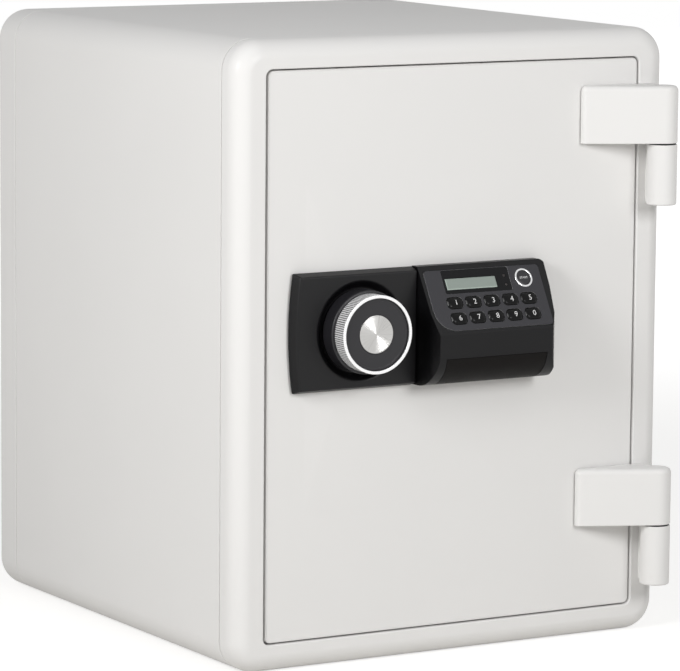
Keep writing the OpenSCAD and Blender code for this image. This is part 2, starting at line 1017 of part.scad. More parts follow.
// The bolt carrier, with the tail that the plunger locks riveted behind it
module bolt_plate() {
    low = bolt_zs[0] - bolt_r - end_margin;
    high = bolt_zs[2] + bolt_r + end_margin;
    slot_half = crank_pin_r + moving;
    slot_low = lock_z - crank_r - slot_half;
    slot_high = lock_z - crank_r * cos(knob_turn / 2) + slot_half;
    notch_half = plunger_r + notch_gap;
    notch_high = plunger_top + plunger_throw + notch_gap;
    rivet_x = bolt_plate_end - tail_lap / 2;
    rivet_back = tail_front + bolt_plate_t + rivet_head;
    color(zinc)
        at_front() {
            difference() {
                union() {
                    translate([bolt_tail, plate_front, low])
                        cube([bolt_plate_end - bolt_tail, bolt_plate_t, high - low]);
                    translate([bolt_tail, plate_front, low])
                        cube([end_flange_t, bolt_depth + bolt_r - plate_front, high - low]);
                }
                translate([slot_x - slot_half, plate_front - cut, slot_low])
                    cube([2 * slot_half, bolt_plate_t + 2 * cut, slot_high - slot_low]);
            }
            difference() {
                translate([bolt_plate_end - tail_lap, tail_front, tail_z])
                    cube([tail_end - bolt_plate_end + tail_lap, bolt_plate_t, tail_h]);
                for (x = [plunger_x, plunger_x + bolt_throw])
                    translate([x - notch_half, tail_front - cut, tail_z - cut])
                        cube([2 * notch_half, bolt_plate_t + 2 * cut, notch_high - tail_z + cut]);
                for (z = rivet_z)
                    bar_in(rivet_x, z, rivet_r + close, tail_front - cut, rivet_back);
            }
            for (z = rivet_z)
                bar_in(rivet_x, z, rivet_r, plate_front + cut, rivet_back);
        }
}

module live_bolts() {
    tip = bolt_chamfer;
    color(steel)
        at_front()
            for (z = bolt_zs)
                translate([bolt_tip, bolt_depth, z])
                    rotate([0, 90, 0]) {
                        cylinder(r1 = bolt_r - tip, r2 = bolt_r, h = tip);
                        translate([0, 0, tip])
                            cylinder(r = bolt_r, h = bolt_tail - bolt_tip - tip);
                    }
}

// The plate round the knob: its left edge is bowed, and its flanks slope in
module knob_plate() {
    half = plate_h / 2;
    front_half = half - plate_bevel;
    bow_r = plate_bow_r;
    color(black)
        at_front()
            difference() {
                intersection() {
                    translate([plate_bow_x, 0, lock_z])
                        rotate([90, 0, 0])
                            cylinder(r1 = bow_r, r2 = bow_r - plate_flank, h = plate_t, $fn = 360);
                    along_width(plate_left - cut, pad_left)
                        translate([0, lock_z])
                            polygon([[0, -half], [-plate_t, -front_half],
                                [-plate_t, front_half], [0, half]]);
                }
                translate([knob_x, -dish_floor, lock_z])
                    rotate([90, 0, 0])
                        cylinder(r1 = dish_r - dish_depth, r2 = dish_r + cut, h = dish_depth + cut);
                bar_in(knob_x, lock_z, spindle_r + moving, -plate_t, cut);
            }
}

module knob_skirt() {
    edge = skirt_edge;
    color(black)
        at_front()
            translate([knob_x, -skirt_back, lock_z])
                rotate([90, 0, 0])
                    difference() {
                        union() {
                            cylinder(r = skirt_r, h = ring_back - skirt_back - edge);
                            translate([0, 0, ring_back - skirt_back - edge])
                                cylinder(r1 = skirt_r, r2 = skirt_r - edge, h = edge);
                        }
                        translate([0, 0, -cut])
                            cylinder(r = spindle_r + press, h = ring_back + 2 * cut);
                    }
}

// The metal ring: a fluted band between two plain lips
module knob_ring() {
    lip = ring_lip;
    flutes = [for (i = [0:2 * knob_flutes - 1])
        let (a = 180 * i / knob_flutes, r = knob_r - (i % 2 == 0 ? flute_sunk : flute_depth))
            r * [cos(a), sin(a)]];
    color(steel)
        at_front()
            translate([knob_x, -ring_back, lock_z])
                rotate([90, 0, 0])
                    difference() {
                        union() {
                            cylinder(r = knob_r, h = lip);
                            translate([0, 0, lip])
                                linear_extrude(knob_ring_depth - 2 * lip)
                                    polygon(flutes);
                            translate([0, 0, knob_ring_depth - lip])
                                cylinder(r = knob_r, h = lip);
                        }
                        translate([0, 0, -cut])
                            cylinder(r = knob_r - ring_wall, h = knob_ring_depth + 2 * cut);
                    }
}

module knob_face() {
    height = knob_ring_depth - face_recess;
    color(black)
        at_front()
            translate([knob_x, -ring_back, lock_z])
                rotate([90, 0, 0])
                    difference() {
                        cylinder(r = knob_r - ring_wall - close, h = height);
                        translate([0, 0, height - cap_t])
                            cylinder(r = cap_r + close, h = cap_t + cut);
                        translate([0, 0, -cut])
                            cylinder(r = spindle_r + press, h = knob_ring_depth - spindle_end + cut);
                    }
}

module knob_cap() {
    color("#d5d5d6")
        at_front()
            translate([knob_x, -knob_front + face_recess + cap_t, lock_z])
                rotate([90, 0, 0])
                    cylinder(r = cap_r, h = cap_t);
}

// Where the key face, moved out by n, stands at a height, and how high it is at a distance
function face_t(z, n) = face_top_t + (n + (face_top_z - z) * sin(face_slope)) / cos(face_slope);
function face_z(t, n) = face_top_z + (n - (t - face_top_t) * cos(face_slope)) / sin(face_slope);

// The side view of the housing, drawn in by e and by s behind the key face
function pad_side(e, s, back) = concat(
    [[back, pad_top - e], [-face_t(pad_top - e, -s), pad_top - e]],
    [[e - pad_front, face_z(pad_front - e, -s)]],
    [for (i = [0:arc_steps]) under_point(90 * i / arc_steps, under_r - e)],
    [[back, pad_bottom + e]]);
function under_point(a, r) = [-under_t - r * cos(a), under_z - r * sin(a)];

// The housing seen from above, drawn in by e at its sides
function pad_plan(e) = [
    [pad_left + e, 2 * cut], [pad_left + e, 0],
    for (p = left_turn) [pad_left + e + p[0], p[1] - pad_front],
    [pad_left + e + left_turn[1][0], -pad_front - cut],
    [pad_right - e - right_turn[0][0], -pad_front - cut],
    for (p = right_turn) [pad_right - e - p[0], p[1] - pad_front],
    [pad_right - e, 0], [pad_right - e, 2 * cut]];

module pad_block(e, s, back) {
    intersection() {
        along_width(pad_left - cut, pad_right + cut)
            polygon(pad_side(e, s, back));
        translate([0, 0, pad_bottom - cut])
            linear_extrude(pad_top - pad_bottom + 2 * cut)
                polygon(pad_plan(e));
        through_depth(-pad_front - cut, 2 * cut)
            translate([pad_right - e - pad_reach, (pad_top + pad_bottom) / 2])
                rounded_rect(2 * pad_reach, pad_top - pad_bottom - 2 * e, pad_corner_r);
    }
}

// The key face as a drawing plane: across, up the slope, and outwards
module on_face() {
    translate([0, -face_top_t, face_top_z])
        rotate([90 - face_slope, 0, 0])
            children();
}

// A slab on the key face from one level to another
module face_slab(n0, n1) {
    translate([0, 0, n0])
        linear_extrude(n1 - n0)
            children();
}

function quarter(x, y, r, a) = [for (i = [0:8]) [x + r * cos(a + 90 * i / 8), y + r * sin(a + 90 * i / 8)]];

// The outline of the key face, drawn in by e at left and bottom and by g at right and top
module face_outline(e, g) {
    r = face_round;
    top = -face_in[2] - g - r;
    big = face_corner_r - e;
    low = e - face_len;
    polygon(concat(
        quarter(face_left + e + big, low + big, big, 180),
        quarter(face_right - g - r, low + r, r, 270),
        quarter(face_right - g - r, top, r, 0),
        quarter(face_left + e + r, top, r, 90)));
}

module display_outline(e) {
    translate([display_x, -display_s])
        square([display_w + 2 * e, display_h + 2 * e], center = true);
}

module window_outline(e) {
    translate([window_x, -window_s])
        rounded_rect(window_w - 2 * e, window_h - 2 * e, window_r);
}

module lamp_outlines(e) {
    for (s = lamp_s)
        translate([lamp_x, -s])
            circle(lamp_r + e);
}

// The middle of key i, counted along the first row and then the second
module at_key(i) {
    translate([first_key_x + key_pitch * (i % 5), -first_key_s - key_row_pitch * floor(i / 5)])
        children();
}

module keypad_housing() {
    color(black)
        at_front()
            difference() {
                pad_block(0, 0, 0);
                pad_block(pad_wall, slope_wall, 2 * cut);
                on_face() {
                    face_slab(-fascia_t, cut)
                        face_outline(0, 0);
                    face_slab(-slope_wall - 2, 0)
                        face_outline(ledge, ledge_top);
                }
                along_width(cover_x0, cover_x1)
                    cover_side(cover_a0, cover_a1, under_r - pad_wall - cut, under_r + cut);
            }
    color(black)
        at_front()
            cover_rests();
}

// Two ribs inside the housing that the battery cover rests on
module cover_rests() {
    inner = under_r - pad_wall - rest_t;
    for (x = [cover_x0, cover_x1 - rest_w])
        along_width(x, x + rest_w)
            cover_side(cover_a0 - rest_a, cover_a1 + rest_a, inner, under_r - pad_wall - snug);
    for (x = [cover_x0 - rest_w, cover_x1])
        along_width(x, x + rest_w)
            cover_side(cover_a0 - rest_a, cover_a1 + rest_a, inner, under_r - pad_wall / 2);
}

// A stretch of the rounded underside between two angles and two radii
module cover_side(a0, a1, r0, r1) {
    steps = 12;
    polygon(concat(
        [for (i = [0:steps]) under_point(a0 + (a1 - a0) * i / steps, r1)],
        [for (i = [steps:-1:0]) under_point(a0 + (a1 - a0) * i / steps, r0)]));
}

module battery_cover() {
    color(black)
        at_front()
            along_width(cover_x0 + moving, cover_x1 - moving)
                cover_side(cover_a0 + cover_gap_a, cover_a1 - cover_gap_a, under_r - pad_wall, under_r);
}

module keypad_fascia() {
    color("#323235")
        at_front()
            on_face()
                difference() {
                    face_slab(-fascia_t, 0)
                        face_outline(groove_w, fascia_gap);
                    face_slab(-window_t - snug, cut)
                        window_outline(-snug);
                    face_slab(-fascia_t - cut, cut) {
                        display_outline(snug);
                        lamp_outlines(snug);
                        translate([start_x, -start_s])
                            circle(start_r + moving);
                        for (i = [0:9])
                            at_key(i)
                                key_outline(key_hole_gap);
                    }
                    face_slab(-start_seat, cut)
                        translate([start_x, -start_s])
                            circle(start_r + moving + start_ring_w + close);
                }
}

module display_window() {
    color("#101214")
        at_front()
            on_face()
                face_slab(-window_t - snug, -snug)
                    difference() {
                        window_outline(0);
                        display_outline(snug);
                        lamp_outlines(snug);
                    }
}

module display() {
    color("#99a69a")
        at_front()
            on_face()
                face_slab(board_top, -2 * snug)
                    display_outline(0);
}

module indicator_lamps() {
    color("#4a3a3a")
        at_front()
            on_face()
                face_slab(board_top, -snug)
                    lamp_outlines(0);
}

module start_ring() {
    color("#d9dadc")
        at_front()
            on_face()
                translate([start_x, -start_s])
                    face_slab(-start_seat, start_lift)
                        difference() {
                            circle(start_r + moving + start_ring_w);
                            circle(start_r + moving);
                        }
}

module start_button() {
    color(black)
        at_front()
            on_face()
                translate([start_x, -start_s]) {
                    face_slab(foot_bottom, start_lift - snug)
                        circle(start_r);
                    face_slab(foot_bottom, foot_top)
                        circle(start_r + key_foot);
                }
}

// The outline of a key, grown by e
module key_outline(e) {
    rounded_rect(key_w + 2 * e, key_h + 2 * e, key_r + e);
}

// One key: a foot below the face, a stem through it and a smaller top
module key(i) {
    color("#1d1d1f")
        at_front()
            on_face()
                at_key(i) {
                    face_slab(foot_bottom, foot_top)
                        key_outline(key_foot);
                    face_slab(foot_bottom, key_lift - key_edge)
                        key_outline(0);
                    face_slab(key_lift - 2 * key_edge, key_lift)
                        key_outline(-key_edge);
                }
}

module board_outline() {
    translate([board_x0, -board_s1])
        square([board_x1 - board_x0, board_s1 - board_s0]);
}

module key_mat() {
    color("#6f7276")
        at_front()
            on_face()
                face_slab(board_top, mat_top)
                    difference() {
                        board_outline();
                        display_outline(moving);
                        lamp_outlines(moving);
                    }
}

module keypad_board() {
    color("#2f6b45")
        at_front()
            on_face()
                face_slab(board_top - board_t, board_top)
                    board_outline();
}

module battery_tray() {
    back_t = cell_t - cell_r - close;
    low = cell_zs[0] - cell_r + tray_in;
    high = cell_zs[1] + cell_r - tray_in;
    x0 = cell_x0 - tray_t - snug;
    x1 = cell_x0 + 2 * cell_len + snug;
    color(black)
        at_front() {
            translate([x0, -back_t, low])
                cube([x1 - x0 + tray_t, tray_t, high - low]);
            for (x = [x0, x1])
                translate([x, -back_t - 2 * cell_r, low])
                    cube([tray_t, back_t + 2 * cell_r - snug, high - low]);
        }
}

module batteries() {
    color("#3f5f8a")
        at_front()
            for (i = [0:1], z = cell_zs) {
                x = cell_x0 + i * cell_len;
                bar_across(x, x + cell_len - nub[1], -cell_t, z, cell_r);
                bar_across(x + cell_len - nub[1] - cut, x + cell_len - close, -cell_t, z, nub[0]);
            }
}

module hinge_knuckle_upper() { fixed_knuckle(upper_leaf_z); }
module hinge_knuckle_lower() { fixed_knuckle(lower_leaf_z); }
module hinge_leaf_upper() { hinge_leaf(upper_leaf_z); }
module hinge_leaf_lower() { hinge_leaf(lower_leaf_z); }

front_frame();
body_wrap();
back_cover();
fire_fill();
inner_liner();
door_jamb();
bolt_keepers();
shelf_rails();
shelf();
hinge_knuckle_upper();
hinge_knuckle_lower();
hinge_pins();
hinge_washers();
door_skin();
door_fill();
door_plug();
door_back_panel();
panel_screws();
door_seal();
hinge_leaf_upper();
hinge_leaf_lower();
fixed_bolts();
lock_plate();
bolt_guides();
spindle_tube();
solenoid_case();
plunger_spring();
knob_plate();
keypad_housing();
keypad_fascia();
display_window();
display();
indicator_lamps();
start_ring();
key_mat();
keypad_board();
battery_tray();
batteries();
lock_cable();
knob_skirt();
knob_ring();
knob_face();
knob_cap();
spindle();
lock_cam();
bolt_plate();
live_bolts();
lock_plunger();
battery_cover();
start_button();
key(0);  // key_1
key(1);  // key_2
key(2);  // key_3
key(3);  // key_4
key(4);  // key_5
key(5);  // key_6
key(6);  // key_7
key(7);  // key_8
key(8);  // key_9
key(9);  // key_0
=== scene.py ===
import json
import math
from contextlib import contextmanager

import bmesh
import bpy
import numpy as np
from bpy.props import FloatProperty, FloatVectorProperty, IntProperty, PointerProperty
from mathutils import Matrix, Vector


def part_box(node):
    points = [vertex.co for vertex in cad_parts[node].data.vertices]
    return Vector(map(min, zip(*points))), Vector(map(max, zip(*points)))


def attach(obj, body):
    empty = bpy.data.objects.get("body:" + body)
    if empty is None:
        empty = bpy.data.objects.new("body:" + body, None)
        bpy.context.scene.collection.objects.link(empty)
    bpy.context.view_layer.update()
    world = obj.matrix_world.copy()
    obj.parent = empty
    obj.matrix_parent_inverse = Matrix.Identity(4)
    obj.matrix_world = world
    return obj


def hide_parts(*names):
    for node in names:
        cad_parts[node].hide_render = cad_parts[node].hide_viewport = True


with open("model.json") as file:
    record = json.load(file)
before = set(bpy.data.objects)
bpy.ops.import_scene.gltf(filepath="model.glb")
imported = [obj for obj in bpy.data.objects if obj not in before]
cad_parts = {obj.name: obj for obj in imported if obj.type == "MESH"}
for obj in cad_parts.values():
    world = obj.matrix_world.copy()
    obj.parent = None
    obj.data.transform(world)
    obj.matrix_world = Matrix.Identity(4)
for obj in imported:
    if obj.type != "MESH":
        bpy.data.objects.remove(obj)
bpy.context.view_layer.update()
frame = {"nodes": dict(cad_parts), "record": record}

bl_info = {
    "name": "Electronic Safe",
    "version": (1, 0, 0),
    "blender": (4, 5, 0),
    "location": "3D View > Sidebar > Safe",
    "description": "Gives the packed electronic safe its finished pieces, materials and studio",
    "category": "Object",
}

RECORD = frame["record"]
SLOT_OF = {part["node"]: part["material_slot"] for part in RECORD["subparts"]}
BODY_OF = {node: body for body, nodes in RECORD["behaviour"]["bodies"].items() for node in nodes}

# Finishes of pieces that have their own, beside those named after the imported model's material slots
OWN_FINISH = {
    "knob_plate": "plate_plastic", "battery_cover": "cover_plastic", "plunger_spring": "spring_steel"}

MM = 0.001


def corners(node):
    """The lowest and the highest corner of a CAD node, in millimetres."""
    return np.array(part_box(node)) / MM


def middle(node):
    """The middle of a CAD node's box, in millimetres."""
    low, high = corners(node)
    return (low + high) / 2


def depths(node):
    """How far in from the body's face a CAD node starts and ends, in millimetres."""
    return corners(node)[:, 1] - FRONT


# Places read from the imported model, in millimetres
FRONT = corners("front_frame")[0][1]
BODY_WIDTH, _, BODY_HEIGHT = corners("front_frame")[1] - corners("front_frame")[0]
KNOB_X, _, KNOB_Z = middle("knob_ring")
HINGE_X, HINGE_Y = middle("hinge_pins")[:2]
SHEET, CELL_LENGTH = 1.5, 50.0

# Directions: across, up and out of the surface that a profile stands on
RIGHT, INWARD, UPWARD = np.eye(3)
TO_BACK, TO_FRONT = (RIGHT, UPWARD, INWARD), (RIGHT, UPWARD, -INWARD)
UPRIGHT, SIDEWAYS = (RIGHT, INWARD, UPWARD), (INWARD, UPWARD, RIGHT)
FACE_SLOPE = math.radians(60)
FACE_TOP = np.array([0.0, FRONT - 9.5, corners("keypad_housing")[1][2] - 3.0])
FACE_OUT = np.array([0.0, -math.sqrt(0.75), 0.5])
KEY_FACE = (RIGHT, np.array([0.0, 0.5, math.sqrt(0.75)]), FACE_OUT)


# Sizes and colours that a user may change

class SafePaint(bpy.types.PropertyGroup):
    """The painted steel of the body and the door."""
    colour: FloatVectorProperty(
        name="Paint", description="Colour of the powder coat",
        default=(0.80, 0.792, 0.781), min=0, max=1, subtype="COLOR")
    liner: FloatVectorProperty(
        name="Liner", description="Colour of the paint in the store room",
        default=(0.72, 0.71, 0.69), min=0, max=1, subtype="COLOR")
    peel: FloatProperty(
        name="Orange peel", description="Distance between the waves of the powder coat",
        default=1.6 * MM, min=0.4 * MM, max=6 * MM, unit="LENGTH", subtype="DISTANCE")
    edge: FloatProperty(
        name="Sheet edge", description="Rounding of a folded or cut sheet edge",
        default=0.8 * MM, min=0.1 * MM, max=2 * MM, unit="LENGTH", subtype="DISTANCE")


class SafeKnob(bpy.types.PropertyGroup):
    """The round knob."""
    flutes: IntProperty(
        name="Flutes", description="Number of flutes round the metal ring", default=112, min=24, max=140)
    flute_depth: FloatProperty(
        name="Flute depth", description="Depth of a flute in the metal ring",
        default=0.32 * MM, min=0.1 * MM, max=1 * MM, unit="LENGTH", subtype="DISTANCE")
    groove_pitch: FloatProperty(
        name="Turning marks", description="Distance between the turning marks of the cap",
        default=0.34 * MM, min=0.2 * MM, max=1 * MM, unit="LENGTH", subtype="DISTANCE")
    groove_slope: FloatProperty(
        name="Mark slope", description="Slope of the turning marks of the cap",
        default=math.radians(26), min=0, max=math.radians(35), unit="ROTATION", subtype="ANGLE")


class SafeKeypad(bpy.types.PropertyGroup):
    """The keypad and its keys."""
    plastic: FloatVectorProperty(
        name="Housing", description="Colour of the black mouldings",
        default=(0.0035, 0.0034, 0.004), min=0, max=1, subtype="COLOR")
    fascia: FloatVectorProperty(
        name="Key face", description="Colour of the key face",
        default=(0.025, 0.0245, 0.029), min=0, max=1, subtype="COLOR")
    glass: FloatVectorProperty(
        name="Display", description="Colour of the liquid crystal",
        default=(0.228, 0.272, 0.243), min=0, max=1, subtype="COLOR")
    dome: FloatProperty(
        name="Key dome", description="Height of the crown of a key",
        default=0.55 * MM, min=0, max=1.2 * MM, unit="LENGTH", subtype="DISTANCE")
    digit: FloatProperty(
        name="Digit height", description="Height of the digit printed on a key",
        default=4.5 * MM, min=2 * MM, max=8 * MM, unit="LENGTH", subtype="DISTANCE")


class SafeStage(bpy.types.PropertyGroup):
    """Camera, light and floor."""
    key_light: FloatProperty(
        name="Front light", description="Power of the light in front of the door",
        default=10.6, min=0, unit="POWER")
    side_light: FloatProperty(
        name="Side light", description="Power of the light at the free side of the door",
        default=15.4, min=0, unit="POWER")
    sky: FloatProperty(
        name="Room light", description="Strength of the even light all round", default=0.29, min=0)
    focal_length: FloatProperty(
        name="Focal length", description="Focal length of the camera, in millimetres",
        default=222.196, min=10)


# Surfaces: grids of points worked out as whole arrays

@contextmanager
def reshaping(mesh, reach):
    """Opens a mesh for editing, with the points that lie within a reach of each other merged."""
    shape = bmesh.new()
    shape.from_mesh(mesh)
    bmesh.ops.remove_doubles(shape, verts=shape.verts, dist=reach)
    yield shape
    shape.to_mesh(mesh)
    shape.free()


class Form:
    """Gathers grids of points and flat faces into one mesh."""

    seam = 0.5e-6

    def __init__(self):
        self.points, self.faces, self.count = [], [], 0

    def add(self, points, faces):
        """Points in millimetres, and faces that count from the form's first point."""
        self.points.append(points)
        self.faces.append(faces)
        self.count += len(points)
        return self

    def grid(self, points, closed=False):
        """Quads between the neighbours of a grid with shape (rows, columns, 3).

        The last column joins the first, and the last row joins the first where the grid is closed."""
        rows, cols = points.shape[:2]
        index = np.arange(rows * cols).reshape(rows, cols) + self.count
        if closed:
            index = np.vstack([index, index[:1]])
        index = np.hstack([index, index[:, :1]])
        quads = np.stack([index[:-1, :-1], index[:-1, 1:], index[1:, 1:], index[1:, :-1]], -1)
        return self.add(points.reshape(-1, 3), quads.reshape(-1, 4))

    def lid(self, ring):
        """One flat face over a ring of points with shape (n, 3)."""
        return self.add(ring, np.arange(len(ring))[None, :] + self.count)

    def mesh(self, name):
        """The mesh in metres, with its seams and poles closed and its faces pointing outwards."""
        mesh = bpy.data.meshes.new(name)
        faces = [face for grid in self.faces for face in grid.tolist()]
        mesh.from_pydata((np.concatenate(self.points) * MM).tolist(), [], faces)
        with reshaping(mesh, self.seam) as shape:
            bmesh.ops.dissolve_degenerate(shape, edges=shape.edges, dist=self.seam)
            bmesh.ops.recalc_face_normals(shape, faces=shape.faces)
        return mesh


def rounded(width, height, radius, steps=10, give=1.0, centre=0.0):
    """An outline for carried: a rectangle with quarter circles at its corners, anticlockwise.

    An inset comes off each side, and give times it off the radius. A corner's points stand at its
    centre plus the radius times (cosine, sine) of a quarter turn: shape (insets, points, 2)."""
    turn = np.arange(4)[:, None] * np.pi / 2 + np.linspace(0, np.pi / 2, steps)
    side_x, side_z = np.array([[1, -1, -1, 1], [1, 1, -1, -1]])[..., None]

    def outline(inset):
        inset = inset.reshape(-1, 1, 1)
        wide, high, bend = (np.maximum(size, 0) for size in
                            (width - 2 * inset, height - 2 * inset, radius - give * inset))
        x = side_x * (wide / 2 - bend) + bend * np.cos(turn)
        z = side_z * (high / 2 - bend) + bend * np.sin(turn)
        return np.stack([x, z], -1).reshape(len(inset), -1, 2) + centre

    return outline


def softened(line, steps=5, closed=True):
    """Rounds the corners of a polyline, each given as its two coordinates and its radius.

    Near a corner P with unit directions u and v to its neighbours, the curve is P + t (1 - s)^2 u
    + t s^2 v for s from 0 to 1, with t the radius over the tangent of half the corner's angle."""
    points, radii = np.hsplit(np.array(line, float), [2])
    before, after = np.roll(points, 1, 0) - points, np.roll(points, -1, 0) - points
    u = before / np.linalg.norm(before, axis=1, keepdims=True)
    v = after / np.linalg.norm(after, axis=1, keepdims=True)
    half = np.arccos(np.clip((u * v).sum(1), -1, 1)) / 2
    reach = radii[:, 0] / np.tan(np.maximum(half, 1e-3))
    if not closed:
        reach = np.where(np.isin(np.arange(len(points)), (0, len(points) - 1)), 0, reach)
    s = np.linspace(0, 1, steps)[None, :, None]
    curve = points[:, None] + reach[:, None, None] * ((1 - s) ** 2 * u[:, None] + s ** 2 * v[:, None])
    return curve.reshape(-1, 2)


def turned(profile, centre, axes, turns=96, closed=False, ripple=0.0, sink=0.0, form=None):
    """A profile of (radius, height) turned about an axis.

    A point stands at the centre + radius (cos a across + sin a up) + height out, for a round the full
    turn; ripple and sink, arrays for each profile point and angle, are taken off the radius and height."""
    across, up, out = axes
    angle = np.linspace(0, 2 * np.pi, turns, endpoint=False)
    radius = profile[:, :1] - ripple
    height = profile[:, 1:] * np.ones(turns) - sink
    spread = np.cos(angle)[:, None] * across + np.sin(angle)[:, None] * up
    grid = centre + radius[..., None] * spread[None] + height[..., None] * out
    return (form or Form()).grid(grid, closed)


def carried(section, outline, centre, axes, closed=True):
    """A section of (inset, height) carried round an outline that is drawn in by the inset.

    A point stands at the centre + x across + z up + height out, with (x, z) on the outline of its inset."""
    across, up, out = axes
    flat = outline(section[:, 0])
    return Form().grid(centre + flat[..., :1] * across + flat[..., 1:] * up
                       + section[:, 1][:, None, None] * out, closed)


BORE, POLE = 100.0, 200.0


def bored(outline, axis, radius):
    """An outline whose ring is a bore about an axis where the inset is BORE, and a point where it is POLE.

    A bore's point stands on the line from the axis to the outline's own point, at the bore's radius."""
    def drilled(inset):
        inset = inset[:, None]
        flat = outline(np.where(inset < BORE, inset, 0.0))
        toward = flat[:1] - axis
        ring = axis + toward / np.linalg.norm(toward, axis=-1, keepdims=True) * radius
        inset = inset[..., None]
        return np.where(inset >= POLE, axis, np.where(inset >= BORE, ring, flat))

    return drilled


def inwards(x, depth, z):
    """A point at a distance across, in from the body's face, and up, in millimetres."""
    return np.array([x, FRONT + depth, z])


def on_face(across, up, out=0.0):
    """A point on the sloped key face, from the top of the face's middle line, in millimetres."""
    return FACE_TOP + across * KEY_FACE[0] + up * KEY_FACE[1] + out * KEY_FACE[2]


# Pieces: an object for a mesh, riding on its body

def linked(name, data):
    """An object for a mesh, curve, lamp or camera, put into the scene."""
    made = bpy.data.objects.new(name, data)
    bpy.context.scene.collection.objects.link(made)
    return made


def finish_of(node):
    """The material of a CAD node's finished piece, and ink for lettering, which has no node."""
    return material(OWN_FINISH.get(node) or SLOT_OF.get(node, "ink"))


def dressed(made, node=None, body=None):
    """Gives an object its material, keeps its large faces flat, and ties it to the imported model."""
    made.data.materials.clear()
    made.data.materials.append(finish_of(node))
    normals = made.modifiers.new("Flat faces", "WEIGHTED_NORMAL")
    normals.weight = 90
    normals.keep_sharp = True
    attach(made, body or BODY_OF[node])
    if node:
        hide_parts(node)


def piece(name, shape, node=None, body=None, smooth=35):
    """A finished form or mesh as an object, smooth across edges that turn by less than some degrees."""
    mesh = shape.mesh(name) if isinstance(shape, Form) else shape
    mesh.set_sharp_from_angle(angle=math.radians(smooth))
    dressed(linked(name, mesh), node, body)


def softened_copy(node, edge, segments=3, least=30, wide=None):
    """A merged copy of a CAD node, with its flat faces made whole and its edges rounded by a bevel.

    wide, a width and a test on a point in millimetres, rounds the edges between such points more."""
    mesh = frame["nodes"][node].data.copy()
    mesh.name = node
    if "custom_normal" in mesh.attributes:
        mesh.attributes.remove(mesh.attributes["custom_normal"])
    with reshaping(mesh, 2e-6) as shape:
        bmesh.ops.dissolve_limit(shape, angle_limit=math.radians(0.6), verts=shape.verts, edges=shape.edges)
        for part in (*shape.faces, *shape.edges):
            part.smooth = True
        if wide:
            weights = shape.edges.layers.float.new("bevel_weight_edge")
            for line in shape.edges:
                if line.calc_face_angle(0) > math.radians(least):
                    far = all(wide[1](*(np.array(end.co) / MM)) for end in line.verts)
                    line[weights] = 1.0 if far else edge / wide[0]
    made = linked(node + "_finished", mesh)
    bevel = made.modifiers.new("Rounded edges", "BEVEL")
    bevel.width = (wide[0] if wide else edge) * MM
    bevel.segments = segments
    bevel.limit_method = "WEIGHT" if wide else "ANGLE"
    bevel.angle_limit = math.radians(least)
    bevel.miter_outer = "MITER_ARC"
    dressed(made, node)


def softened_copies(segments, **edges):
    """Softened copies of several CAD nodes, each with the rounding of its edges in millimetres."""
    for node, edge in edges.items():
        softened_copy(node, edge, segments)


def kept(node):
    """Gives a CAD node that stays in sight its material."""
    for slot in frame["nodes"][node].material_slots:
        slot.material = finish_of(node)


def printed(name, words, height, centre, body, thickness, width=None):
    """Lettering on the key face as a thin raised mesh: the text's own curves, scaled to a height."""
    curve = bpy.data.curves.new(name, "FONT")
    curve.body = words
    curve.align_x = curve.align_y = "CENTER"
    curve.extrude = 0.5
    curve.resolution_u = 4
    holder = linked(name, curve)
    bpy.context.view_layer.update()
    mesh = bpy.data.meshes.new_from_object(holder.evaluated_get(bpy.context.evaluated_depsgraph_get()))
    bpy.data.objects.remove(holder)
    mesh.name = name
    points = np.empty(len(mesh.vertices) * 3)
    mesh.vertices.foreach_get("co", points)
    points = points.reshape(-1, 3)
    low, high = points.min(0), points.max(0)
    tall = height / (high[1] - low[1])
    wide = width / (high[0] - low[0]) if width else tall
    points = (points - (low + high) / 2) * [wide, tall, thickness / (high[2] - low[2])]
    mesh.vertices.foreach_set("co", ((centre + points @ np.array(KEY_FACE)) * MM).ravel())
    with reshaping(mesh, 1e-6) as shape:
        bmesh.ops.recalc_face_normals(shape, faces=shape.faces)
    mesh.update()
    piece(name, mesh, body=body, smooth=30)


# Materials: arithmetic on sockets

class Value:
    """A socket in a material, with the arithmetic that the finishes use."""

    def __init__(self, paint, socket):
        self.paint, self.socket = paint, socket

    def math(self, operation, *others):
        """A Math node on this value and others."""
        return self.paint.node("ShaderNodeMath", {"operation": operation}, dict(enumerate((self, *others))))

    def __add__(self, other):
        return self.math("ADD", other)

    def __mul__(self, other):
        return self.math("MULTIPLY", other)

    def __sub__(self, other):
        return self.math("SUBTRACT", other)

    def __rsub__(self, other):
        return self * -1 + other

    __radd__, __rmul__ = __add__, __mul__

    def above(self, edge, blur):
        """0 below an edge and 1 above it, smoothly over the blur."""
        return self.spread(0.0, 1.0, edge - blur, edge + blur, "SMOOTHSTEP")

    def spread(self, low, high, start=0.0, end=1.0, kind="LINEAR"):
        """This value made to run from low to high, as it runs from start to end."""
        return self.paint.node("ShaderNodeMapRange", {"interpolation_type": kind},
                               {0: self, 1: start, 2: end, 3: low, 4: high})


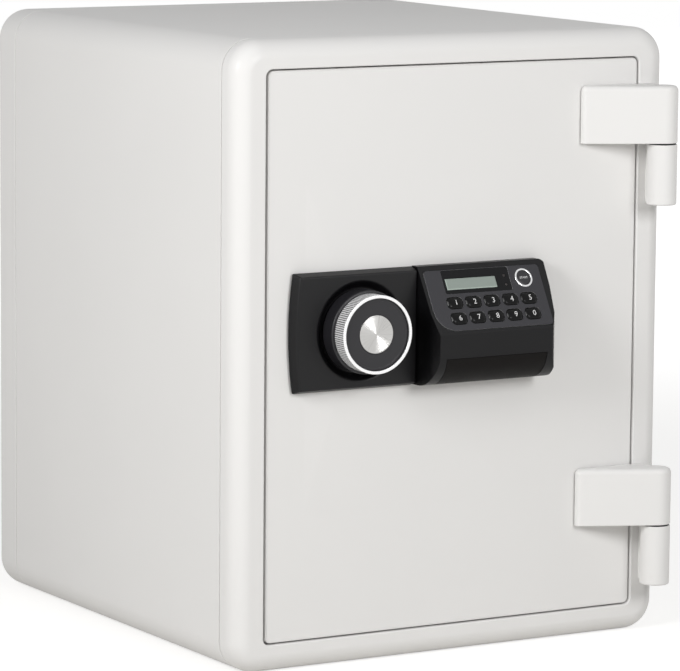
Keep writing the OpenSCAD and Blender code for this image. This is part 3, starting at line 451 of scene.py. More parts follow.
class Nodes:
    """A node tree, and the one way in which nodes are put into it."""

    def __init__(self, owner):
        owner.use_nodes = True
        self.tree = owner.node_tree
        self.tree.nodes.clear()

    def node(self, kind, settings=None, inputs=None, output=0):
        """Any node: its settings first, then its sockets' values or links; gives one output as a Value."""
        made = self.tree.nodes.new(kind)
        for name, value in (settings or {}).items():
            setattr(made, name, value)
        for name, value in (inputs or {}).items():
            self.feed(made.inputs[name], value)
        return made if output is None else Value(self, made.outputs[output])

    def vector(self, operation, *values, output=0):
        """A Vector Math node on places or directions."""
        return self.node("ShaderNodeVectorMath", {"operation": operation}, dict(enumerate(values)), output)

    def seen(self):
        """1 for what the camera sees straight, in reflections or through glass, and 0 for other light."""
        camera, glossy, through = (self.node("ShaderNodeLightPath", output="Is %s Ray" % kind)
                                   for kind in ("Camera", "Glossy", "Transmission"))
        return (camera + glossy + through).math("MINIMUM", 1.0)

    def feed(self, socket, value):
        """Links a Value to a socket, or sets the socket's own number or colour."""
        if isinstance(value, Value):
            self.tree.links.new(value.socket, socket)
        elif socket.type == "RGBA":
            socket.default_value = (*value, 1)
        else:
            socket.default_value = value


class Finish(Nodes):
    """A material with one Principled shader and the nodes behind it."""

    def __init__(self, name):
        self.material, self.scene = bpy.data.materials.new(name), bpy.context.scene
        super().__init__(self.material)
        self.surface = self.node("ShaderNodeBsdfPrincipled")
        self.output = self.node("ShaderNodeOutputMaterial", {}, {"Surface": self.surface}, None)
        self.place = self.node("ShaderNodeTexCoord", output="Object")

    def set(self, **sockets):
        """Feeds the shader's own sockets, named with underscores for spaces."""
        shader = self.surface.socket.node
        for name, value in sockets.items():
            self.feed(shader.inputs[name.replace("_", " ")], value)

    def along(self, axis, place=None):
        """One of the three Object coordinates, or of another place."""
        return self.node("ShaderNodeSeparateXYZ", {}, {0: place or self.place}, axis)

    def mapped(self, scale=(1, 1, 1), turn=(0, 0, 0)):
        """Object coordinates, turned and stretched."""
        return self.node("ShaderNodeMapping", {"vector_type": "POINT"},
                         {"Vector": self.place, "Rotation": turn, "Scale": scale})

    def noise(self, size, detail=2.0, roughness=0.5, place=None):
        """Soft noise, from 0 to 1, whose lumps are about this size in millimetres."""
        return self.node("ShaderNodeTexNoise", {},
                         {"Vector": place or self.place, "Scale": size if place else 1 / (size * MM),
                          "Detail": detail, "Roughness": roughness}, "Fac")

    def cells(self, size, feature="F1"):
        """Distance to the middles of scattered cells of about this size in millimetres."""
        return self.node("ShaderNodeTexVoronoi", {"feature": feature},
                         {"Vector": self.place, "Scale": 1 / (size * MM)}, "Distance")

    def mix(self, amount, first, second):
        """A colour between two colours."""
        return self.node("ShaderNodeMix", {"data_type": "RGBA"}, {"Factor": amount, 6: first, 7: second}, 2)

    def tone(self, colour, amount, share):
        """A colour that gets lighter and darker by a share as the amount runs from 0 to 1."""
        dark = tuple(part * (1 - share) for part in colour)
        light = tuple(min(1.0, part * (1 + share)) for part in colour)
        return self.mix(amount, dark, light)

    def relief(self, height, depth):
        """A normal from a height that runs from 0 to 1, over a real depth in millimetres."""
        bump = {"Strength": 1.0, "Distance": depth * MM, "Height": height}
        self.set(Normal=self.node("ShaderNodeBump", {}, bump))

    def worked(self, colour, marks, share, gloss, depth=0, **sockets):
        """A surface whose tone, roughness and relief all follow some marks."""
        self.set(Base_Color=self.tone(colour, marks, share), Roughness=marks.spread(*gloss), **sockets)
        if depth:
            self.relief(marks, depth)


def powder_coat(paint, colour, peel, roughness):
    """Satin powder coat: a fine orange peel, a slow drift of tone and a softly varied gloss."""
    waves = paint.noise(peel / MM, 1.5)
    paint.set(Base_Color=paint.tone(colour, paint.noise(90, 1.0), 0.012),
              Roughness=waves.spread(roughness - 0.05, roughness + 0.07),
              Specular_IOR_Level=0.08, Coat_Weight=0.14, Coat_Roughness=0.2)
    paint.relief(waves + paint.noise(0.35, 1.0) * 0.25, 0.014)


def white_paint(paint):
    """The coat of the body and the door."""
    powder_coat(paint, paint.scene.safe_paint.colour, paint.scene.safe_paint.peel, 0.57)


def liner_paint(paint):
    """The coat of the store room, with finer waves and a little more gloss."""
    powder_coat(paint, paint.scene.safe_paint.liner, 1.1 * MM, 0.5)


def panel_paint(paint):
    """Hammered paint: round shallow dimples with darker rims."""
    grey = [0.94 * part for part in paint.scene.safe_paint.liner]
    paint.worked(grey, paint.cells(2.4, "SMOOTH_F1"), 0.05, (0.28, 0.5), 0.09)


def fire_fill(paint):
    """Cast insulating fill: grey and cream grains with open pores, dented in and painted darker as painted
    shade.
    """
    grey, cream, pore_shade = (0.36, 0.33, 0.28), (0.60, 0.56, 0.49), (0.22, 0.20, 0.17)
    grains = paint.noise(2.2, 4.0, 0.65)
    holes = 1 - paint.cells(3.1).above(0.16, 0.05)
    colour = paint.mix(grains.above(0.52, 0.2), grey, cream)
    # The darker colour in the pores is painted shade.
    paint.set(Base_Color=paint.mix(holes, colour, pore_shade), Roughness=0.9)
    paint.relief(grains * 0.5 - holes, 0.5)


def moulding(grain, roughness, depth=0.012, shine=0.38, colour=None, share=1.0):
    """The finish of a moulded piece, in its own colour or in a share of the housing's."""
    def moulded(paint):
        """A fine spark-eroded grain, and a slow drift of tone and gloss."""
        pits, drift = paint.noise(grain, 2.5, 0.6), paint.noise(25, 2.0)
        base = colour or [share * part for part in paint.scene.safe_keypad.plastic]
        paint.set(Base_Color=paint.tone(base, drift * 0.6 + pits * 0.4, 0.10), Specular_IOR_Level=shine,
                  Roughness=(drift * 0.4 + pits * 0.6).spread(roughness - 0.08, roughness + 0.1))
        paint.relief(pits, depth)

    return moulded


def fascia(paint):
    """The key face's finely grained plastic, with its rounded edge polished, and a painted highlight there:
    the edge's base colour is paler.
    """
    # The pale colour on the rounded edge is a painted highlight; the lower roughness there is the edge's
    # polish.
    normal, pale = paint.node("ShaderNodeNewGeometry", output="Normal"), (0.34, 0.34, 0.35)
    edge = 1 - paint.vector("DOT_PRODUCT", normal, tuple(FACE_OUT), output="Value").above(0.9, 0.08)
    paint.set(Base_Color=paint.mix(edge, paint.scene.safe_keypad.fascia, pale),
              Roughness=edge.spread(0.41, 0.2), Specular_IOR_Level=0.32)
    paint.relief(paint.noise(0.26, 2.5, 0.6), 0.012)


def window(paint):
    """Dark window: smooth and glossy, with the faintest cloud of handling."""
    paint.worked((0.004, 0.0042, 0.005), paint.noise(7, 3.0), 0.25, (0.05, 0.16), Specular_IOR_Level=0.17)


def display(paint):
    """Liquid crystal: a fine grid of cells, and a painted highlight: a paler band at its left and lower
    edges.
    """
    glass, wave, corner = paint.scene.safe_keypad.glass, 2 * math.pi / (0.6 * MM), (-19.05, -18.7)
    tilted = paint.mapped(turn=(-FACE_SLOPE, 0, 0))
    across, up = paint.along(0, tilted), paint.along(1, tilted)
    cells = (across * wave).math("SINE") * (up * wave).math("SINE")
    left, depth, height = on_face(*corner) * MM
    low = depth * math.cos(FACE_SLOPE) + height * math.sin(FACE_SLOPE)
    # The paler band at the left and lower edges is a painted highlight.
    left_highlight = 1 - across.above(left + 1.0 * MM, 0.5 * MM)
    rim = left_highlight.math("MAXIMUM", 1 - up.above(low + 0.9 * MM, 0.4 * MM))
    body = paint.tone(glass, cells * 0.2 + paint.noise(9) * 0.6 + 0.1, 0.06)
    paint.set(Base_Color=paint.mix(rim, body, [min(1, 1.65 * part) for part in glass]), Roughness=0.28,
              Coat_Weight=0.6)
    paint.relief(cells * 0.5 + 0.5, 0.002)


def lamp(paint):
    """Smoked lens over an unlit lamp."""
    paint.worked((0.014, 0.009, 0.009), paint.noise(1.4), 0.2, (0.12, 0.22))


def bright_ring(paint):
    """Polished plating with a faint haze."""
    paint.worked((0.72, 0.72, 0.73), paint.noise(0.9, 3.0), 0.04, (0.11, 0.19), Metallic=1.0)


def from_axis(paint, node):
    """The direction from the axis of a knob's piece, and the distance from it."""
    level, axis = paint.vector("MULTIPLY", paint.place, (1, 0, 1)), tuple(middle(node) * [1, 0, 1] * MM)
    return paint.vector("SUBTRACT", level, axis), paint.vector("DISTANCE", level, axis, output="Value")


def spun_metal(paint):
    """Spun disc: streaks that run out from its middle, from noise on the direction away from the middle;
    their lighter and darker tone is a painted sheen.
    """
    away = paint.vector("NORMALIZE", from_axis(paint, "knob_cap")[0])
    # The tone of the radial streaks is a painted sheen of the spun metal.
    paint.worked((0.5, 0.495, 0.485), paint.noise(9.0, 3.0, 0.7, away), 0.14, (0.25, 0.31), Metallic=1.0)


def knob_metal(paint):
    """Satin plating on the tops of the flutes and on the front rim, and painted shade in the grooves between
    the flutes: a dark base colour below the tops of the flutes.
    """
    rim = 1 - paint.along(1).above((corners("knob_ring")[0][1] + 1.1) * MM, 0.1 * MM)
    bright = from_axis(paint, "knob_ring")[1].above(31.56 * MM, 0.07 * MM).math("MAXIMUM", rim)
    # The dark colour in the grooves is painted shade, not a fill of the grooves.
    groove_shade, plating = (0.05, 0.05, 0.052), (0.95, 0.95, 0.96)
    paint.set(Base_Color=paint.mix(bright, groove_shade, plating), Metallic=0.3,
              Roughness=paint.noise(0.5, 3.0).spread(0.2, 0.34))


def steel(paint):
    """Rolled or turned steel, with fine marks along its length and a thin oily cloud."""
    marks = paint.noise(1.0, 3.0, 0.6, paint.mapped((300, 5200, 3600))) * 0.6 + paint.noise(14, 3.0) * 0.4
    paint.worked((0.56, 0.565, 0.575), marks, 0.12, (0.22, 0.42), 0.004, Metallic=1.0)


def zinc(paint):
    """Tinted zinc plate: clouds of pale green, straw and violet over a fine grain."""
    green, straw, violet = (0.50, 0.52, 0.50), (0.60, 0.57, 0.46), (0.55, 0.50, 0.50)
    cloud, grain = paint.noise(11, 3.0, 0.6), paint.noise(0.45, 2.0)
    colour = paint.mix(cloud.spread(0.0, 1.0, 0.25, 0.5), green, straw)
    paint.set(Base_Color=paint.mix(cloud.spread(0.0, 1.0, 0.5, 0.75), colour, violet),
              Metallic=1.0, Roughness=grain.spread(0.26, 0.46))
    paint.relief(grain, 0.006)


def spring_steel(paint):
    """Spring wire: round coils up the height of the sleeve, as bumps, with painted light and shade: the base
    colour is lighter on the coils and darker between them.
    """
    coils = (paint.along(2) * (2 * math.pi / (1.1 * MM))).math("SINE") * 0.5 + 0.5
    # The tone that follows the coils is painted light and shade.
    paint.worked((0.42, 0.42, 0.44), coils, 0.5, (0.22, 0.38), 0.3, Metallic=1.0)


def key(paint):
    """Black silicone with a lacquered top."""
    skin = paint.noise(0.3, 2.0)
    paint.worked((0.001, 0.001, 0.0012), skin, 0.15, (0.12, 0.2), 0.003, Specular_IOR_Level=0.17)


def ink(paint):
    """White pad print, slightly uneven."""
    paint.set(Base_Color=paint.tone((0.7, 0.7, 0.7), paint.noise(0.4, 3.0), 0.05), Roughness=0.55)


def board(paint):
    """Circuit board: green mask over paler copper tracks and bright round pads."""
    tracks = paint.node("ShaderNodeTexBrick", {"offset": 0.5}, {
        "Vector": paint.mapped(), "Scale": 160.0, "Mortar Size": 0.05,
        "Color1": (0, 0, 0), "Color2": (0.12, 0.12, 0.12), "Mortar": (1, 1, 1)})
    mask, track, pad = (0.012, 0.085, 0.035), (0.03, 0.16, 0.07), (0.6, 0.58, 0.5)
    pads = 1 - paint.cells(5.5).above(0.12, 0.02)
    colour = paint.mix(tracks, mask, track)
    paint.set(Base_Color=paint.mix(pads, colour, pad), Roughness=pads.spread(0.3, 0.22))


def battery(paint):
    """Shrink-wrapped cell: a dark body with a plain pale band at its contact end, and a fine film grain."""
    cells = (paint.along(0) - corners("batteries")[0][0] * MM).math("DIVIDE", CELL_LENGTH * MM)
    film = paint.noise(1.5, 3.0)
    body, band = paint.tone((0.05, 0.12, 0.25), film, 0.1), (0.55, 0.53, 0.48)
    paint.set(Base_Color=paint.mix(cells.math("FRACT").above(0.7, 0.004), body, band),
              Roughness=film.spread(0.25, 0.4))


FINISHES = {finish.__name__: finish for finish in (
    white_paint, liner_paint, panel_paint, fire_fill, fascia, window, display, lamp, bright_ring, spun_metal,
    knob_metal, steel, zinc, spring_steel, key, ink, board, battery)}
FINISHES.update(
    black_plastic=moulding(0.32, 0.36, shine=0.22),
    plate_plastic=moulding(0.32, 0.36, shine=0.27),
    # The battery cover's plastic is a shaded copy of the housing's: its warm tint is a painted reflection of
    # the floor, and its lower shine makes it read darker.
    cover_plastic=moulding(0.32, 0.5, shine=0.1, colour=(0.0046, 0.0038, 0.0034)),
    washer=moulding(0.32, 0.36, shine=0.22),
    black_knob=moulding(0.2, 0.34, 0.005, share=4.6),
    mat=moulding(0.4, 0.62, 0.01, colour=(0.16, 0.165, 0.17)),
    seal=moulding(0.6, 0.7, 0.02, colour=(0.035, 0.035, 0.037)),
    cable=moulding(0.8, 0.42, 0.004, colour=(0.42, 0.04, 0.03)))


def material(name):
    """The material of a finish, made the first time that it is asked for."""
    made = bpy.data.materials.get("safe_" + name)
    if made is None:
        paint = Finish("safe_" + name)
        FINISHES[name](paint)
        made = paint.material
    return made


# Operators: one for each piece or group of like pieces

class SAFE_OT_body(bpy.types.Operator):
    """Front frame, wrapped sides and back cover"""
    bl_idname = "safe.body"
    bl_label = "Body"

    corner_round, back_round, seam = 26.0, 16.0, 0.7

    def execute(self, context):
        outline = rounded(BODY_WIDTH, BODY_HEIGHT, self.corner_round, 16)
        pole, bend, edge = BODY_HEIGHT / 2, self.back_round, context.scene.safe_paint.edge / MM
        centre = inwards(0, 0, pole)
        softened_copy("front_frame", 1.1)
        start, end = depths("body_wrap") + [self.seam, -self.seam]
        wrap = softened([(0, start, edge), (0, end, edge), (SHEET, end, 0.1), (SHEET, start, 0.1)])
        piece("sides", carried(wrap, outline, centre, TO_BACK), "body_wrap")
        start, end = depths("back_cover")
        back = softened([
            (pole, end, 0), (0, end, bend), (0, start, edge), (SHEET, start, 0.1),
            (SHEET, end - SHEET, bend - SHEET), (pole, end - SHEET, 0)], 12, closed=False)
        piece("back", carried(back, outline, centre, TO_BACK, closed=False), "back_cover")
        kept("fire_fill")
        return {"FINISHED"}


class SAFE_OT_store_room(bpy.types.Operator):
    """Throat ring, liner, bolt keepers, shelf and its rails"""
    bl_idname = "safe.store_room"
    bl_label = "Store room"

    def execute(self, context):
        softened_copies(2, door_jamb=0.6, inner_liner=0.5, bolt_keepers=0.4, shelf_rails=0.4)
        (left, front, low), (right, back, high) = corners("shelf")
        bend, lip = 2.0, 0.5
        side = softened([
            (front, high, lip), (front, low, bend), (back, low, bend), (back, high, lip),
            (back - SHEET, high, lip), (back - SHEET, low + SHEET, bend - SHEET),
            (front + SHEET, low + SHEET, bend - SHEET), (front + SHEET, high, lip)], 6)
        ends = np.stack([np.insert(side, 0, x, axis=1) for x in (left, right)])
        piece("shelf_plate", Form().grid(ends).lid(ends[0]).lid(ends[1]), "shelf")
        return {"FINISHED"}


class SAFE_OT_hinges(bpy.types.Operator):
    """Hinge leaves, fixed knuckles, pins and washers"""
    bl_idname = "safe.hinges"
    bl_label = "Hinges"

    pin_r, bore_depth, fixed_bore, free_bore, washer_r = 6, 36.0, 6.02, 6.3, 11.5
    axis = np.array([HINGE_X, HINGE_Y - FRONT])

    def execute(self, context):
        centre = np.array([HINGE_X, HINGE_Y, 0])
        pins, washers = Form(), Form()
        ends = corners("hinge_pins")[:, 2]
        tops = [corners("hinge_knuckle_" + place)[1][2] for place in ("lower", "upper")]
        thick = corners("hinge_washers")[1][2] - tops[1]
        for place, top in zip(("lower", "upper"), tops):
            self.leaf(place)
            self.knuckle(place)
            foot, head = top + ends[0] - tops[0], top + ends[1] - tops[1]
            pin = softened([
                (0, foot, 0), (self.pin_r, foot, 0.8), (self.pin_r, head, 0.8), (0, head, 0)], closed=False)
            turned(pin, centre, UPRIGHT, 48, form=pins)
            ring = softened([
                (self.free_bore, top, 0.25), (self.washer_r, top, 0.25),
                (self.washer_r, top + thick, 0.25), (self.free_bore, top + thick, 0.25)])
            turned(ring, centre, UPRIGHT, 64, closed=True, form=washers)
        piece("pins", pins, "hinge_pins")
        piece("washers", washers, "hinge_washers")
        return {"FINISHED"}

    def drilled(self, name, node, outline, section, bore):
        """A section carried round an outline, with its bore about the hinge's axis."""
        foot = inwards(0, 0, corners(node)[0][2])
        piece(name, carried(section, bored(outline, self.axis, bore), foot, UPRIGHT, closed=False), node)

    def leaf(self, place):
        """A wedge from its free end to its knuckle, with its upper and its free edge well rounded.

        From above it is an arc round the free end's corner, the line that touches that arc and the
        knuckle's circle, the circle itself, and the seat on the door. An inset comes off both radii, so
        the line keeps its slope."""
        node = "hinge_leaf_" + place
        low, high = corners(node)
        knuckle, end_round, end_thick, lift = high[0] - HINGE_X, 5.0, 6.5, 0.5
        end = np.array([low[0] + end_round, end_round - end_thick])
        span = self.axis - end
        slope = math.atan2(span[1], span[0]) - math.acos((end_round - knuckle) / np.linalg.norm(span))
        seat_end = corners("door_skin")[1][0] - 3

        def outline(inset):
            first, second = np.linspace(-np.pi, slope, 9), np.linspace(slope, np.pi / 2, 40)
            small, large = np.maximum(end_round - inset, 0.05), knuckle - inset
            x = np.hstack([end[0] + small * np.cos(first), self.axis[0] + large * np.cos(second),
                           inset * 0 + [self.axis[0], seat_end, seat_end], low[0] + inset])
            y = np.hstack([end[1] + small * np.sin(first), self.axis[1] + large * np.sin(second),
                           inset * 0 + [-lift, -lift, 0, 0]])
            return np.stack([x, y], -1)

        height = high[2] - low[2]
        edges = softened([(2, 0, 0), (0, 0, 1.0), (0, height, 5.0), (5.1, height, 0)], 8, closed=False)
        bore = [(POLE, self.bore_depth), (BORE, self.bore_depth), (BORE, 0)]
        section = np.vstack([bore, edges, [(POLE, height)]])
        self.drilled("leaf_" + place, node, outline, section, self.free_bore)

    def knuckle(self, place):
        """A barrel with its foot rounded, on a web that runs back to the frame's face, behind the barrel.

        From above it is the barrel's circle, left where the web's straight sides meet it."""
        node = "hinge_knuckle_" + place
        low, high = corners(node)
        barrel, web_left, web_right = high[0] - HINGE_X, 2.0, 8.0
        back = high[1] - FRONT

        def outline(inset):
            radius, left, right = barrel - inset, web_left - inset, web_right - inset
            start = np.pi / 2 - np.arcsin(right / radius)
            end = np.arcsin(left / radius) - 1.5 * np.pi
            angle = start + (end - start) * np.linspace(0, 1, 56)
            x = np.hstack([radius * np.cos(angle), -left, right]) + self.axis[0]
            y = np.hstack([radius * np.sin(angle) + self.axis[1], inset * 0 + [back, back]])
            return np.stack([x, y], -1)

        height = high[2] - low[2]
        floor = height - self.bore_depth
        edges = softened([(1.5, height, 0), (0, height, 0.7), (0, 0, 2.0), (3, 0, 0)], 7, closed=False)
        bore = [(POLE, floor), (BORE, floor), (BORE, height)]
        section = np.vstack([bore, edges, [(POLE, 0)]])
        self.drilled("fixed_knuckle_" + place, node, outline, section, self.fixed_bore)


class SAFE_OT_door(bpy.types.Operator):
    """Door skin, fill, plug, back panel with its screws, and seal"""
    bl_idname = "safe.door"
    bl_label = "Door"

    corner_round, spindle_bore, middle_screw, seal_width, seal_foot = 4.8, 7.2, 206.0, 9, 0.35

    def execute(self, context):
        low, high = corners("door_skin")
        width, depth, height = high - low
        outline = rounded(width, height, self.corner_round, centre=middle("door_skin")[[0, 2]])
        edge, lip = 1.5, 25.0
        section = softened([
            (0, 0, edge), (0, depth, 0.8), (lip, depth, 0.2), (lip, depth - SHEET, 0.2),
            (SHEET, depth - SHEET, 0.1), (SHEET, SHEET, 0.1)], 6)
        section = np.vstack([[(BORE, 0)], section, [(BORE, SHEET)]])
        outline = bored(outline, np.array([KNOB_X, KNOB_Z]), self.spindle_bore)
        piece("skin", carried(section, outline, inwards(0, 0, 0), TO_BACK), "door_skin")
        kept("door_fill")
        softened_copy("door_plug", 0.5, 2)
        softened_copy("door_back_panel", 0.8)
        self.screws()
        self.seal()
        return {"FINISHED"}

    def screws(self):
        """Pan head screws: a domed head with a cross recess, a dip that fades with the angle."""
        low, high = corners("panel_screws")
        panel, head, turns = depths("door_back_panel")[1], 4, 48
        profile = softened([
            (0, 2.2, 0), (2.6, 2.05, 1.2), (head, 0.9, 0.6), (head, 0, 0.1), (1.6, 0, 0.1), (1.6, -12, 0.3),
            (0, -12.6, 0)], 6, closed=False)
        profile = np.vstack([np.stack([np.linspace(0, 2.4, 9), np.full(9, 2.2)], 1), profile[6:]])
        angle = np.linspace(0, 2 * np.pi, turns, endpoint=False)
        cross = np.clip(1.6 - np.abs(np.sin(2 * angle)) * 3.2, 0, 1)
        dip = cross * np.clip(2.2 - profile[:, :1], 0, 1) * (profile[:, 1:] > 1)
        form = Form()
        for x in (low[0] + head, high[0] - head):
            for z in (low[2] + head, self.middle_screw, high[2] - head):
                turned(profile, inwards(x, panel, z), TO_BACK, turns, sink=dip * 1.1, form=form)
        piece("screws", form, "panel_screws")

    def seal(self):
        """Rubber seal: two soft ribs on a flat foot, carried round the door.

        A rib's height follows the sine of its place across the seal, without its sign, to the power 0.7."""
        low, high = corners("door_seal")
        foot, top = depths("door_seal")
        width, base = self.seal_width, foot + self.seal_foot
        across = np.linspace(0.2, width - 0.2, 28)
        ribs = base + (top - base) * np.abs(np.sin(across / width * 2 * np.pi)) ** 0.7
        section = np.vstack([np.stack([across, ribs], 1), [(width, foot), (0, foot)]])
        outline = rounded(high[0] - low[0], high[2] - low[2], 8, 8, 0.6)
        centre = middle("door_seal") * [1, 0, 1] + inwards(0, 0, 0)
        piece("seal", carried(section, outline, centre, TO_BACK), "door_seal")


class SAFE_OT_boltwork(bpy.types.Operator):
    """Bolts, their carrier and guides, the lock plate, and the solenoid with its plunger and lead"""
    bl_idname = "safe.boltwork"
    bl_label = "Boltwork"

    spacing, neck_r, live_r, fixed_r, pin_r, collar_r = 140, 8, 10, 11, 4, 6

    def execute(self, context):
        softened_copies(2, lock_plate=0.3, bolt_guides=0.6, solenoid_case=1.0, lock_cam=0.5, bolt_plate=0.4,
                        spindle_tube=0.3)
        kept("plunger_spring")
        start, end = corners("live_bolts")[:, 0]
        neck, live, fixed, pin, collar = self.neck_r, self.live_r, self.fixed_r, self.pin_r, self.collar_r
        self.bolts("live_bolts", "moving_bolts", [
            (0, start, 0), (neck, start, 1.2), (live, start + 2, 1.2), (live, end, 0.4), (0, end, 0)])
        start, end = corners("fixed_bolts")[:, 0]
        root = start + 5
        self.bolts("fixed_bolts", "hinge_side_bolts", [
            (0, start, 0), (fixed, start, 0.5), (fixed, root, 0.5), (neck, root, 0.1), (neck, end, 1.2),
            (0, end, 0)])
        foot, head = corners("lock_plunger")[:, 2]
        stop = corners("plunger_spring")[1][2]
        profile = softened([
            (0, foot, 0), (pin, foot, 0.6), (pin, stop, 0.1), (collar, stop, 0.4), (collar, stop + 2, 0.4),
            (pin, stop + 2, 0.1), (pin, head, 0.9), (0, head, 0)], closed=False)
        pin = turned(profile, middle("lock_plunger") * [1, 1, 0], UPRIGHT, 48)
        piece("plunger_pin", pin, "lock_plunger")
        softened_copy("lock_cable", 0.1, 1, least=60)
        return {"FINISHED"}

    def bolts(self, node, name, profile):
        """Round bolts along the width, one at each height, with their ends rounded."""
        profile, form = softened(profile, closed=False), Form()
        for height in (KNOB_Z - self.spacing, KNOB_Z, KNOB_Z + self.spacing):
            turned(profile, middle(node) * [0, 1, 0] + height * UPWARD, SIDEWAYS, 64, form=form)
        piece(name, form, node)


class SAFE_OT_knob(bpy.types.Operator):
    """Skirt, fluted metal ring, face, spun cap and spindle"""
    bl_idname = "safe.knob"
    bl_label = "Knob"

    per_flute, per_groove = 8, 8
    skirt_r, ring_r, band_r, ring_bore = 34, 32, 31.7, 29.5
    face_r, cap_r, disc_r, bore = 29.45, 15.5, 14.4, 5.0

    def execute(self, context):
        """A flute is a dip in the ring's radius, of its depth times 1.25 - 1.6 |cos(n a / 2)| held between
        0 and 1, for n flutes at the angle a. The cap's turning marks are a sine wave in its height along
        the radius, which fades towards the middle."""
        shape = context.scene.safe_knob
        centre = inwards(KNOB_X, 0, KNOB_Z)
        top, foot = -depths("knob_skirt")
        ring_top, ring_foot = -depths("knob_ring")
        face_top = -depths("knob_face")[0]
        cap_top, cap_foot = -depths("knob_cap")
        bore, ring_r, band_r, ring_bore = self.bore, self.ring_r, self.band_r, self.ring_bore
        face_r, cap_r, disc = self.face_r, self.cap_r, self.disc_r

        def knob_piece(name, profile, node, turns=128, ripple=0.0):
            """A closed profile turned about the knob's axis."""
            form = turned(profile, centre, TO_FRONT, turns, closed=True, ripple=ripple)
            piece(name, form, node, smooth=40)

        skirt = softened([
            (bore, foot, 0.1), (self.skirt_r, foot, 1.0), (self.skirt_r, top, 1.4), (bore, top, 0.1)], 7)
        knob_piece("skirt", skirt, "knob_skirt")

        turns = shape.flutes * self.per_flute
        shoulder = ring_top - 0.9
        band = softened([
            (ring_bore, ring_foot, 0.1), (31.4, ring_foot, 0.2), (band_r, ring_foot + 0.5, 0.3),
            (band_r, shoulder - 0.3, 0.15), (ring_r, shoulder, 0.2), (ring_r, ring_top, 0.6),
            (ring_bore, ring_top, 0.5)], 6)
        angle = np.linspace(0, 2 * np.pi, turns, endpoint=False)
        inside = (band[:, 1] < shoulder - 0.2) & (band[:, 0] > 31)
        valley = np.clip(1.25 - 1.6 * np.abs(np.cos(shape.flutes * angle / 2)), 0, 1)
        knob_piece("ring", band, "knob_ring", turns,
                   inside[:, None] * valley[None] * shape.flute_depth / MM)

        face = softened([
            (bore, ring_foot, 0.1), (face_r, ring_foot, 0.2), (face_r, face_top, 0.4), (27.6, face_top, 0.3),
            (27.2, face_top - 0.35, 0.4), (16.4, face_top - 0.6, 0.3), (16.0, face_top - 0.2, 0.15),
            (15.55, face_top - 0.2, 0.15), (15.55, cap_foot, 0.05), (bore, cap_foot, 0.1)], 6)
        knob_piece("face", face, "knob_face")

        pitch, sunk = shape.groove_pitch / MM, cap_top - 0.12
        marks = np.linspace(disc, 0, int(disc / pitch) * self.per_groove + 1)
        wave = np.sin(np.arange(len(marks)) * 2 * np.pi / self.per_groove)
        wave = wave * math.tan(shape.groove_slope) * pitch / (2 * np.pi) * np.clip(marks / 2, 0, 1)
        grooves = np.stack([marks, sunk + 0.1 * (1 - marks / disc) + wave], 1)
        rim = softened([
            (0, cap_foot, 0), (cap_r, cap_foot, 0.1), (cap_r, cap_top - 0.1, 0.35), (14.9, cap_top, 0.3),
            (disc, sunk, 0)], closed=False)
        cap = turned(np.vstack([rim, grooves]), centre, TO_FRONT, 144)
        piece("cap", cap, "knob_cap", smooth=60)

        end, start = -depths("spindle")
        rod = softened([(0, start, 0), (bore, start, 0.6), (bore, end, 0.6), (0, end, 0)], closed=False)
        piece("spindle_rod", turned(rod, centre, TO_FRONT, 48), "spindle")
        return {"FINISHED"}


class SAFE_OT_mouldings(bpy.types.Operator):
    """Knob plate, keypad housing and battery cover"""
    bl_idname = "safe.mouldings"
    bl_label = "Mouldings"

    def execute(self, context):
        softened_copy("knob_plate", 1.3)
        flank = corners("keypad_housing")[0][0] + 4.6
        softened_copy("keypad_housing", 0.9, 3, 25,
                      (2.6, lambda x, y, z: x < flank and y < FRONT - 7 and abs(z - FACE_TOP[2]) > 8))
        softened_copy("battery_cover", 0.5)
        return {"FINISHED"}


class SAFE_OT_key_face(bpy.types.Operator):
    """Key face, display with its window and lamps, and the start button in its ring"""
    bl_idname = "safe.key_face"
    bl_label = "Key face"

    button, lamps = (56, -12.3), ((38, -9.0), (38, -17.0))
    crown_r, button_r, flange_r, button_bore, ring_r, lens_r = 5.4, 6.6, 7.6, 6.9, 8.3, 1.2
    flange, foot = -2.1, -3.3

    def execute(self, context):
        softened_copy("keypad_fascia", 0.8)
        softened_copies(2, display_window=0.2, display=0.35)
        start = on_face(*self.button)
        crown_r, side_r, bore, outer, seat = self.crown_r, self.button_r, self.button_bore, self.ring_r, 8.1
        ring = softened([
            (bore, -1, 0.1), (seat, -1, 0.1), (seat, -0.1, 0.1), (outer, 0.1, 0.1), (outer, 0.6, 0.7),
            (side_r, 0.6, 0.6), (side_r, 0.2, 0.1), (bore, 0.1, 0.1)], 6)
        piece("button_ring", turned(ring, start, KEY_FACE, closed=True), "start_ring", smooth=50)
        radius = np.linspace(0, crown_r, 9)
        crown = np.stack([radius, 0.42 - 0.3 * (radius / crown_r) ** 2], 1)
        side = softened([
            (crown_r, 0.12, 0.1), (side_r, -0.2, 0.7), (side_r, self.flange, 0.05),
            (self.flange_r, self.flange, 0.1), (self.flange_r, self.foot, 0.1), (0, self.foot, 0)],
            closed=False)
        piece("button", turned(np.vstack([crown, side]), start, KEY_FACE, 64), "start_button", smooth=45)
        printed("button_word", "START", 1.9, on_face(*self.button, 0.40), "start_button", 0.16, 7.6)
        form = Form()
        lens = softened([
            (0, 0.05, 0), (0.9, -0.02, 0.5), (self.lens_r, -0.3, 0.2), (self.lens_r, -6, 0.1), (0, -6, 0)],
            closed=False)
        for place in self.lamps:
            turned(lens, on_face(*place), KEY_FACE, 32, form=form)
        piece("lamps", form, "indicator_lamps", smooth=50)
        return {"FINISHED"}


